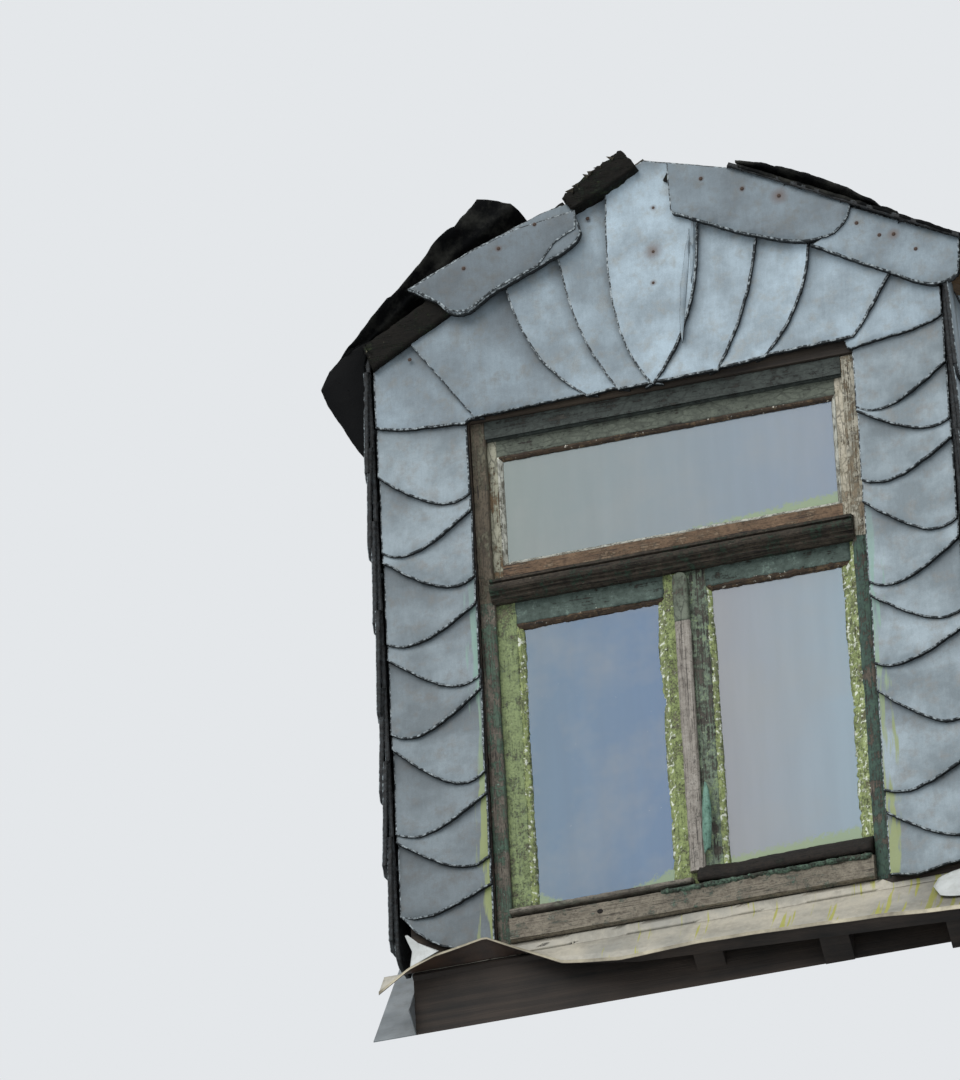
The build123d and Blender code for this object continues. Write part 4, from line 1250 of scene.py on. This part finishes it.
# %% Felt
def tarred_felt():
    """Bitumen felt: near black, dusty on its raised creases, and dull; below about 1.4 m it gets no dust, as
    painted shade.
    """
    material, tree = blank("tarred_felt")
    place = add(tree, "TexCoord", out="Object")
    dust = add(tree, "TexNoise", {"Vector": place, "Scale": 14.0, "Detail": 6.0, "Roughness": 0.7})
    grit = add(tree, "TexNoise", {"Vector": place, "Scale": 320.0, "Detail": 3.0})
    share = add(tree, "MapRange", {"Value": dust, "From Min": 0.46, "From Max": 0.66})
    # Painted shade: below about 1.4 m the felt gets no dust and stays near black.
    height = add(tree, "SeparateXYZ", {0: place}, out="Z")
    dust_above_painted_shade_below = add(tree, "MapRange", {"Value": height, "From Min": foot + 1.38, "From Max": foot + 1.5})
    share = add(tree, "Math", {0: share, 1: dust_above_painted_shade_below}, operation="MULTIPLY")
    body = add(tree, "Mix", {0: share, 6: paint("#090a0b"), 7: paint("#33332f")}, data_type="RGBA", out=2)
    bump = add(tree, "Bump", {"Height": dust, "Strength": 0.6, "Distance": 0.006})
    bump = add(tree, "Bump", {"Height": grit, "Normal": bump, "Strength": 0.4, "Distance": 0.0008})
    shader = add(tree, "BsdfPrincipled", {"Base Color": body, "Roughness": 0.7, "Specular IOR Level": 0.08,
                                                    "Normal": bump})
    add(tree, "OutputMaterial", {"Surface": shader})
    return material


felt = tarred_felt()
torn_edge = [(-357, 1706, 12), (-443, 1635, 12), (-546, 1530, 12), (-649, 1421, 12), (-697, 1368, 11),
             (-716, 1331, 9),
             (-703, 1290, 7), (-669, 1220, 5), (-630, 1153, 4)]
bulge_line = [(-282, 1685, -34), (-398, 1612, -44), (-505, 1532, -44), (-612, 1436, -38), (-652, 1400, 14),
              (-668, 1352, 18),
              (-662, 1292, 19), (-648, 1224, 14), (-628, 1158, 6)]
held_edge = [(-262, 1619, -113), (-350, 1569, -113), (-456, 1509, -113), (-560, 1450, -113), (-604, 1428, 2),
             (-620, 1372, 6),
             (-616, 1300, 8), (-618, 1230, 8), (-624, 1168, 6)]


def felt_place(u, v):
    """Loose at the torn edge, and crumpled less and less towards the edge that is held."""
    p = across((torn_edge, bulge_line, held_edge), u, v)
    loose = crumple(p, 16.0, 3) * (1.0 - 0.85 * v) * (1.0 if u < 0.5 else 0.45)
    tear = (5.0 if u < 0.5 else 0.0) * noise.noise(Vector((u * 18, 0, 8))) * (1 - v) ** 4
    fold = 16.0 * max(0.0, 1 - abs(v - 0.42) / 0.16) * (1.0 if u < 0.48 else 0.0)
    return at(p.x + loose.x * 0.5 - tear, p.y + loose.z * 0.6 + tear * 0.5, p.z + loose.y * 0.5 + fold)


torn_felt = bmesh.new()
sheet(torn_felt, felt_place, 96, 18, 3.0)
finish_piece(torn_felt, "torn_felt", "roofing_felt", [felt], "roofing_felt_left")

# %% [markdown]
# ## The ragged cover on the right
# Along the right verge two black layers stick out over the large slates, one curled up above the other.
# They are sheets too, thicker, with an edge that wanders.

# %% Right cover
cover_edges = bmesh.new()
for low, high, lift, seat, thick, seed in ((228, 612, 20.0, 3.0, 6.0, 21), (236, 806, 2.0, -4.0, 8.0, 22)):
    def edge_place(u, v, low=low, high=high, lift=lift, seat=seat, seed=seed):
        """The first layer curls up in its middle, and both run out unevenly towards the back."""
        run = low + (high - low) * u
        wander = 5.0 * noise.noise(Vector((run * 0.05, seed, 0))) + 2.5 * noise.noise(Vector((run * 0.2, seed,
                                                                                              0)))
        depth = 58 + 34 * noise.noise(Vector((run * 0.011, seed * 3,
                                              0))) + 9 * noise.noise(Vector((run * 0.07, seed, 3)))
        rise = seat + lift * max(0.0, sin(pi * min(1.0, u * 1.12))) ** 0.7 * (1 - v)
        rise += 2.5 * noise.noise(Vector((run * 0.03, seed, v * 2))) + 3.0 * v
        return right_slope(run, rise + thick / 2, roof_front + 1.5 + wander * (1 - v) - depth * v)
    sheet(cover_edges, edge_place, 90, 6, thick)
finish_piece(cover_edges, "ragged_cover", "roofing_felt", [felt])

# %% [markdown]
# ## Paint that hangs loose
# On the right casement's inner stile a long flake of blue-green paint has come off at one side and curls
# forward. It is a small sheet again.

# %% Loose flake
flake_paint = weathered("loose_paint_flake", "z", "#6f8f7f", "#456355", "#7ba08f", "#557b6b", kept=0.8,
                        crack=0.4,
                        crackle=0.3)
flake_lines = [[(36, 292, -26), (31, 235, -20), (30, 170, -14), (31, 128, -20)],
               [(42, 286, -20), (43, 240, -10), (42, 175, -6), (38, 135, -16)],
               [(47, 270, -22), (51, 230, -16), (51, 180, -12), (45, 140, -20)]]
flake = bmesh.new()
sheet(flake, lambda u, v: at(*(across(flake_lines, u, v) + crumple(across(flake_lines, u, v), 2.5, 9))), 24,
      8, 0.8)
finish_piece(flake, "loose_paint_flake", "peeling_paint", [flake_paint])

# %% [markdown]
# ## Zinc
# Zinc sheet weathers to a dull grey patina with pale runs. The apron below the window is dirtier: dust and
# algae have dried on it in beige clouds, with yellow-green drips. Its underside is brown with rust from the
# nails and drawn near black in places, as painted shade under the sheet.

# %% Zinc materials


def zinc_sheet(name, pale, mid, stain, metallic=0.55, drips=False):
    material, tree = blank(name)
    place = add(tree, "TexCoord", out="Object")
    cloud = add(tree, "TexNoise", {"Vector": place, "Scale": 8.0, "Detail": 6.0, "Roughness": 0.65})
    spot = add(tree, "TexNoise", {"Vector": place, "Scale": 75.0, "Detail": 5.0, "Roughness": 0.7})
    smear = add(tree, "Mapping", {"Vector": place, "Scale": (9.0, 26.0, 26.0)})
    smear = add(tree, "TexNoise", {"Vector": smear, "Scale": 1.0, "Detail": 4.0})
    share = add(tree, "MapRange", {"Value": cloud, "From Min": 0.36, "From Max": 0.64})
    body = add(tree, "Mix", {0: share, 6: paint(mid), 7: paint(pale)}, data_type="RGBA", out=2)
    dirt = add(tree, "Math", {0: spot, 1: smear}, operation="ADD")
    dirt = add(tree, "MapRange", {"Value": dirt, "From Min": 0.95, "From Max": 1.25, "To Max": 0.38})
    body = add(tree, "Mix", {0: dirt, 6: body, 7: paint(stain)}, data_type="RGBA", out=2)
    if drips:
        x = add(tree, "SeparateXYZ", {0: place}, out="X")
        runs = add(tree, "Mapping", {"Vector": place, "Scale": (105.0, 4.0, 7.0)})
        runs = add(tree, "TexNoise", {"Vector": runs, "Scale": 1.0, "Detail": 2.0})
        dense = add(tree, "MapRange", {"Value": x, "From Min": 0.05, "From Max": 0.42, "To Max": 0.12})
        wet = add(tree, "Math", {0: runs, 1: dense}, operation="ADD")
        wet = add(tree, "MapRange", {"Value": wet, "From Min": 0.66, "From Max": 0.71, "To Max": 0.85})
        body = add(tree, "Mix", {0: wet, 6: body, 7: paint("#aaa945")}, data_type="RGBA", out=2)
        # Past 0.44 m to the right the apron's colour is drawn darker.
        darker_at_right_end = add(tree, "MapRange", {"Value": x, "From Min": 0.44, "From Max": 0.52, "To Min": 1.0,
                                                "To Max": 0.55})
        body = add(tree, "VectorMath", {0: body, "Scale": darker_at_right_end}, operation="SCALE")
    bump = add(tree, "Bump", {"Height": cloud, "Strength": 0.3, "Distance": 0.006})
    bump = add(tree, "Bump", {"Height": spot, "Normal": bump, "Strength": 0.25, "Distance": 0.0008})
    shader = add(tree, "BsdfPrincipled", {"Base Color": body, "Roughness": 0.5, "Metallic": metallic,
                                                    "Normal": bump})
    add(tree, "OutputMaterial", {"Surface": shader})
    return material


zinc_patina = zinc_sheet("weathered_zinc", "#8f9496", "#71777a", "#66655f", metallic=0.4)
apron_top = zinc_sheet("dusty_apron_zinc", "#c0b9a8", "#99978e", "#726c60", metallic=0.1, drips=True)
# The underside's colours are brown rust and, darker, painted shade under the sheet.
apron_underside_rust_and_shade = zinc_sheet("rusty_underside_and_painted_shade", "#4a382c", "#262220", "#171412", metallic=0.1)
lip_light = zinc_sheet("worn_zinc_lip", "#b5ad95", "#6f6857", "#4a4237", metallic=0.2)
white_sheet = zinc_sheet("white_coated_sheet", "#cfd2d0", "#aeb1ad", "#8d8b80", metallic=0.0)

# %% [markdown]
# ## The apron
# The apron leads the rain from below the sill onto the roof. It stands up behind the slates, turns at a
# crease and runs out down the slope. At the left its edge has been bent up to a point, so its brown
# underside shows; at the right it is longest. Two white scraps of sheet hang out at the corners.

# %% Apron
board_back, board_high = forward_of("apron_board", back=True), (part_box("apron_board")[1].z - foot) / mm
crease_z, crease_forward, sheet_lift = -25.0, board_back + 4.0, 5.0
board_half, opening_half, apron_half = 590.0, window_half + 2.0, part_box("apron_flashing")[1].x / mm
lip_start, lip_turn = 0.96, 5.0
lip_line = [(-apron_half, -80, 34), (-584, -38, 36), (-529, -16, 34), (-423, 4, 32), (-350, -32, 22),
            (-268, -76, 24),
            (-144, -101, 42), (23, -97, 49), (230, -106, 56), (395, -120, 68), (559, -139, 84),
            (apron_half, -151, 93)]


def height_at(line, x):
    """The other two values of a line at a width."""
    for (a, *here), (b, *there) in zip(line, line[1:]):
        if a <= x <= b:
            return [p + (q - p) * (x - a) / (b - a) for p, q in zip(here, there)]
    return list(line[-1][1:])


def skirt_place(u, v):
    """The skirt rests on its board, which slopes as the main roof does, and its lip hangs free."""
    x = -apron_half + 2 * apron_half * u
    z, forward = height_at(lip_line, x)
    turned = lip_turn if v > lip_start else 0.0
    wave = 2.0 * noise.noise(Vector((x * 0.011, v * 2, 0))) * v
    out = crease_forward + (forward - crease_forward) * min(v, lip_start) / lip_start
    high = crease_z + (z - crease_z) * v ** 0.85 + wave - turned
    on_board = board_high - tan(main_pitch) * (out - board_back) + sheet_lift
    return at(x, max(high, on_board) if v < 0.9 else high, out)


def upstand_place(u, v):
    x = -board_half + 2 * board_half * u
    top = -2.0 if abs(x) < opening_half else -13.0
    return at(x, crease_z - 1 + (top - crease_z + 1) * v, crease_forward + 0.8 * noise.noise(Vector((x * 0.02,
                                                                                                     v, 0))))


apron = bmesh.new()
sheet(apron, skirt_place, 130, 24, 1.6, pick=lambda u, v: 2 if v > 0.955 else 0, under=1)
sheet(apron, upstand_place, 60, 3, 1.6)
finish_piece(apron, "apron_bent", "zinc", [apron_top, apron_underside_rust_and_shade, lip_light], "apron_flashing")

flaps = bmesh.new()
left_fold = [[(-594, 46, 14), (-578, 4, 24), (-582, -34, 34)], [(-588, 45, 16), (-562, 16, 30),
                                                                (-520, -12, 36)]]
right_fold = [[(514, -34, 14), (506, -58, 30), (524, -90, 52)], [(560, -27, 24), (556, -62, 44),
                                                                 (560, -101, 58)],
              [(606, -22, 16), (610, -58, 26), (604, -98, 44)]]
for fold in (left_fold, right_fold):
    sheet(flaps, lambda u, v, fold=fold: at(*(across(fold, u, v) + crumple(across(fold, u, v), 2.0, 5))), 14,
          10, 1.5)
finish_piece(flaps, "white_flaps", "zinc", [white_sheet])

# %% [markdown]
# ## Timber and the pieces that keep their shape
# Everything else stays as the frame has it and gets a finish. Sawn timber has a coarse grain along its length
# and dark and pale bands; indoors it is clean and brown, outside it is grey.

# %% Sawn wood


def sawn_wood(name, along, pale, dark):
    """Sawn oak or pine. The grain runs along one axis, a band about every 20 mm, with fine fibres between."""
    material, tree = blank(name)
    place = add(tree, "TexCoord", out="Object")
    band_scale, fibre_scale = [48.0] * 3, [420.0] * 3
    band_scale["xyz".index(along)], fibre_scale["xyz".index(along)] = 1.6, 12.0
    bands = add(tree, "Mapping", {"Vector": place, "Scale": band_scale})
    bands = add(tree, "TexNoise", {"Vector": bands, "Scale": 1.0, "Detail": 4.0})
    fibres = add(tree, "Mapping", {"Vector": place, "Scale": fibre_scale})
    fibres = add(tree, "TexNoise", {"Vector": fibres, "Scale": 1.0, "Detail": 3.0})
    stain = add(tree, "TexNoise", {"Vector": place, "Scale": 6.0, "Detail": 5.0})
    mix = add(tree, "Math", {0: bands, 1: stain}, operation="ADD")
    share = add(tree, "MapRange", {"Value": mix, "From Min": 0.8, "From Max": 1.2})
    body = add(tree, "Mix", {0: share, 6: paint(dark), 7: paint(pale)}, data_type="RGBA", out=2)
    fine = add(tree, "MapRange", {
        "Value": fibres, "From Min": 0.3, "From Max": 0.7, "To Min": 0.75, "To Max": 1.1})
    body = add(tree, "VectorMath", {0: body, "Scale": fine}, operation="SCALE")
    bump = add(tree, "Bump", {"Height": fibres, "Strength": 0.5, "Distance": 0.0015})
    shader = add(tree, "BsdfPrincipled", {"Base Color": body, "Roughness": 0.78, "Normal": bump})
    add(tree, "OutputMaterial", {"Surface": shader})
    return material


def dress(node, material):
    """A better material in the slots of a piece that keeps its shape."""
    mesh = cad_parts[node].data
    mesh.materials.clear()
    mesh.materials.append(material)


timber_x, timber_y, timber_z = [sawn_wood(f"sawn_timber_{a}", a, "#8a7156", "#57432f") for a in "xyz"]
# Painted shade: the front boards are dark sawn wood, standing in for the shade under the slates.
board_x = sawn_wood("front_board_painted_shade", "x", "#4d4236", "#221c17")
board_y = sawn_wood("cheek_board", "y", "#6f6352", "#3a3128")
# Painted shade: the boards under the apron are near-black sawn wood, standing in for the shade below the
# sheet.
shaded_board_under_apron = sawn_wood("board_under_apron_painted_shade", "x", "#3a3028", "#17130f")
for nodes, material in (
    (("front_sole", "window_header"), timber_x),
    (("rafters_left", "rafters_right"), timber_x),
    (("wall_plate_left", "wall_plate_right", "ridge_board", "cheek_frame_left", "cheek_frame_right"),
     timber_y),
    (("corner_post_left", "corner_post_right", "window_stud_left", "window_stud_right"), timber_z),
    (("front_board_left", "front_board_right", "front_board_gable"), board_x),
    (("front_board_bottom", "apron_board"), shaded_board_under_apron),
    (("cheek_boarding_left", "cheek_boarding_right"), board_y),
    (("barge_board_right",), rotten),
    (("ridge_capping", "side_flashing_left", "side_flashing_right", "valley_flashing_left",
      "valley_flashing_right"),
     zinc_patina),
):
    for node in nodes:
        dress(node, material)
print("dressed pieces of timber, board and zinc")

# %% [markdown]
# ## Glass
# Street dust and reflected sky make old panes look like pale blue-grey sheets with brown clouds in them.
# Each pane has its own two tints, a painted reflection of the sky, chosen by where it lies in the window, and
# a dull shine. Algae grow up from the lower edges, so each green band is a place along the pane and a height
# that changes on the way.

# %% Glass


def dusty_glass():
    """Window glass under a film of dust, which scatters most of the light and lets a little through."""
    material, tree = blank("dusty_window_glass")
    place = add(tree, "TexCoord", out="Object")
    axes = add(tree, "SeparateXYZ", {0: place}).node.outputs
    haze = add(tree, "TexNoise", {"Vector": place, "Scale": 4.5, "Detail": 4.0, "Roughness": 0.6})
    grime = add(tree, "TexNoise", {"Vector": place, "Scale": 90.0, "Detail": 5.0, "Roughness": 0.7})
    streak = add(tree, "Mapping", {"Vector": place, "Scale": (26.0, 1.0, 3.0)})
    streak = add(tree, "TexNoise", {"Vector": streak, "Scale": 1.0, "Detail": 4.0})
    on_right = add(tree, "Math", {0: axes["X"], 1: meeting_x * mm}, operation="GREATER_THAN")
    on_top = add(tree, "Math", {0: axes["Z"], 1: foot + transom_foot * mm}, operation="GREATER_THAN")
    below = add(tree, "Math", {0: 1.0, 1: on_top}, operation="SUBTRACT")
    # Painted reflection: each pane's two blue-grey tints stand for the sky mirrored in it.
    tints = []
    for sight, at_left, at_right in ((left_sight, "#507088", "#466b90"), (right_sight, "#85888e", "#8199a7"),
                                     (top_sight, "#76847f", "#73869a")):
        way = add(tree, "MapRange", {
            "Value": axes["X"], "From Min": sight[0] * mm, "From Max": sight[1] * mm})
        tints.append(add(tree, "Mix", {0: way, 6: paint(at_left), 7: paint(at_right)}, data_type="RGBA",
                         out=2))
    pane = add(tree, "Mix", {0: on_right, 6: tints[0], 7: tints[1]}, data_type="RGBA", out=2)
    pane = add(tree, "Mix", {0: on_top, 6: pane, 7: tints[2]}, data_type="RGBA", out=2)
    warm = add(tree, "MapRange", {"Value": haze, "From Min": 0.46, "From Max": 0.7, "To Max": 0.36})
    body = add(tree, "Mix", {0: warm, 6: pane, 7: paint("#8d8f8b")}, data_type="RGBA", out=2)
    lines = add(tree, "MapRange", {
        "Value": streak, "From Min": 0.3, "From Max": 0.7, "To Min": 0.96, "To Max": 1.04})
    body = add(tree, "VectorMath", {0: body, "Scale": lines}, operation="SCALE")
    speck = add(tree, "MapRange", {"Value": grime, "From Min": 0.7, "From Max": 0.74, "To Max": 0.5})
    body = add(tree, "Mix", {0: speck, 6: body, 7: paint("#c3cbd1")}, data_type="RGBA", out=2)
    for mask, z_foot, x_from, x_to, h_from, h_to in (
        (on_top, top_opening[2], 40, 352, 2, 26), (below, right_sight[2], 72, 361, 26, 46),
        (below, left_sight[2], -331, -285, 32, 6), (below, left_sight[2], -130, -33, 4, 34),
    ):
        rise = add(tree, "MapRange", {"Value": axes["X"], "From Min": x_from * mm, "From Max": x_to * mm,
                                                "To Min": h_from * mm, "To Max": h_to * mm})
        over = add(tree, "Math", {0: axes["Z"], 1: rise}, operation="SUBTRACT")
        over = add(tree, "Math", {0: grime, 1: 0.05, 2: over}, operation="MULTIPLY_ADD")
        line = foot + z_foot * mm + 0.025
        algae = add(tree, "MapRange", {"Value": over, "From Min": line + 0.005, "From Max": line - 0.007,
                                                 "To Max": 0.75})
        first = add(tree, "Math", {0: axes["X"], 1: (x_from - 8) * mm}, operation="GREATER_THAN")
        last = add(tree, "Math", {0: axes["X"], 1: (x_to + 8) * mm}, operation="LESS_THAN")
        for factor in (mask, first, last):
            algae = add(tree, "Math", {0: algae, 1: factor}, operation="MULTIPLY")
        body = add(tree, "Mix", {0: algae, 6: body, 7: paint("#859c5d")}, data_type="RGBA", out=2)
    shader = add(tree, "BsdfPrincipled", {"Base Color": body, "Roughness": 0.16, "IOR": 1.5,
                                                    "Transmission Weight": 0.12})
    add(tree, "OutputMaterial", {"Surface": shader})
    return material


dress("window_glass", dusty_glass())

# %% [markdown]
# ## Light, floor and backdrop
# The light is an overcast sky: it comes from everywhere, a little more from above. The pale backdrop is
# what the camera and mirrors see, and it adds no light of its own.

# %% World and lamp
world = bpy.data.worlds.new("overcast")
bpy.context.scene.world = world
world.use_nodes = True
tree = world.node_tree
tree.nodes.clear()
rays = add(tree, "LightPath").node.outputs
seen = add(tree, "Math", {0: rays["Is Camera Ray"], 1: rays["Is Glossy Ray"]}, operation="MAXIMUM")
seen = add(tree, "Math", {0: seen, 1: rays["Is Transmission Ray"]}, operation="MAXIMUM")
sky = add(tree, "Background", {"Color": paint("#eef2f6"), "Strength": 0.72})
backdrop = add(tree, "Background", {"Color": paint("#e4e7ea"), "Strength": 1.0})
both = add(tree, "MixShader", {0: seen, 1: sky, 2: backdrop})
add(tree, "OutputWorld", {"Surface": both})

lamp = bpy.data.lights.new("bright_cloud", "SUN")
lamp.energy = 1.5
lamp.angle = radians(50)
cloud = bpy.data.objects.new("bright_cloud", lamp)
cloud.rotation_euler = (radians(48), 0, radians(-22))
bpy.context.scene.collection.objects.link(cloud)

# %% Floor
floor_drop, floor_half, floor_middle = 0.03, 6.0, 0.6
bm = bmesh.new()
bmesh.ops.create_grid(bm, x_segments=1, y_segments=1, size=floor_half)
bmesh.ops.translate(bm, verts=bm.verts, vec=(0, floor_middle, cad_low.z - floor_drop))
mesh = bpy.data.meshes.new("pale_floor")
bm.to_mesh(mesh)
bm.free()
floor = bpy.data.objects.new("pale_floor", mesh)
bpy.context.scene.collection.objects.link(floor)
floor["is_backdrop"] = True
pale_floor, tree = blank("pale_floor")
from_below = add(tree, "NewGeometry", out="Backfacing")
matt = add(tree, "BsdfDiffuse", {"Color": paint("#d9dcde")})
clear = add(tree, "BsdfTransparent")
top_only = add(tree, "MixShader", {0: from_below, 1: matt, 2: clear})
add(tree, "OutputMaterial", {"Surface": top_only})
mesh.materials.append(pale_floor)

# %% [markdown]
# ## Camera
# The photo was taken from the street, from below and a little to the right, with a long lens.

# %% Camera
yaw, rise, roll = radians(15.2308), radians(28.0), radians(3.1648)
distance, lens, aim = 24.0, 390.6, at(-396.4, 918.2)
look = Vector((-sin(yaw) * cos(rise), cos(yaw) * cos(rise), sin(rise)))
level = Vector((cos(yaw), sin(yaw), 0))
upright = level.cross(look)
right = cos(roll) * level - sin(roll) * upright
up = sin(roll) * level + cos(roll) * upright
camera_data = bpy.data.cameras.new("camera")
camera_data.lens = lens
camera_data.sensor_width = 36.0
camera_data.clip_start, camera_data.clip_end = 0.5, 100.0
camera = bpy.data.objects.new("camera", camera_data)
bpy.context.scene.collection.objects.link(camera)
camera.matrix_world = Matrix.Translation(aim - look * distance) @ Matrix((right, up,
                                                                          -look)).transposed().to_4x4()
bpy.context.scene.camera = camera
bpy.context.scene.view_settings.view_transform = "Standard"

# %% Sizes
low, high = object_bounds()
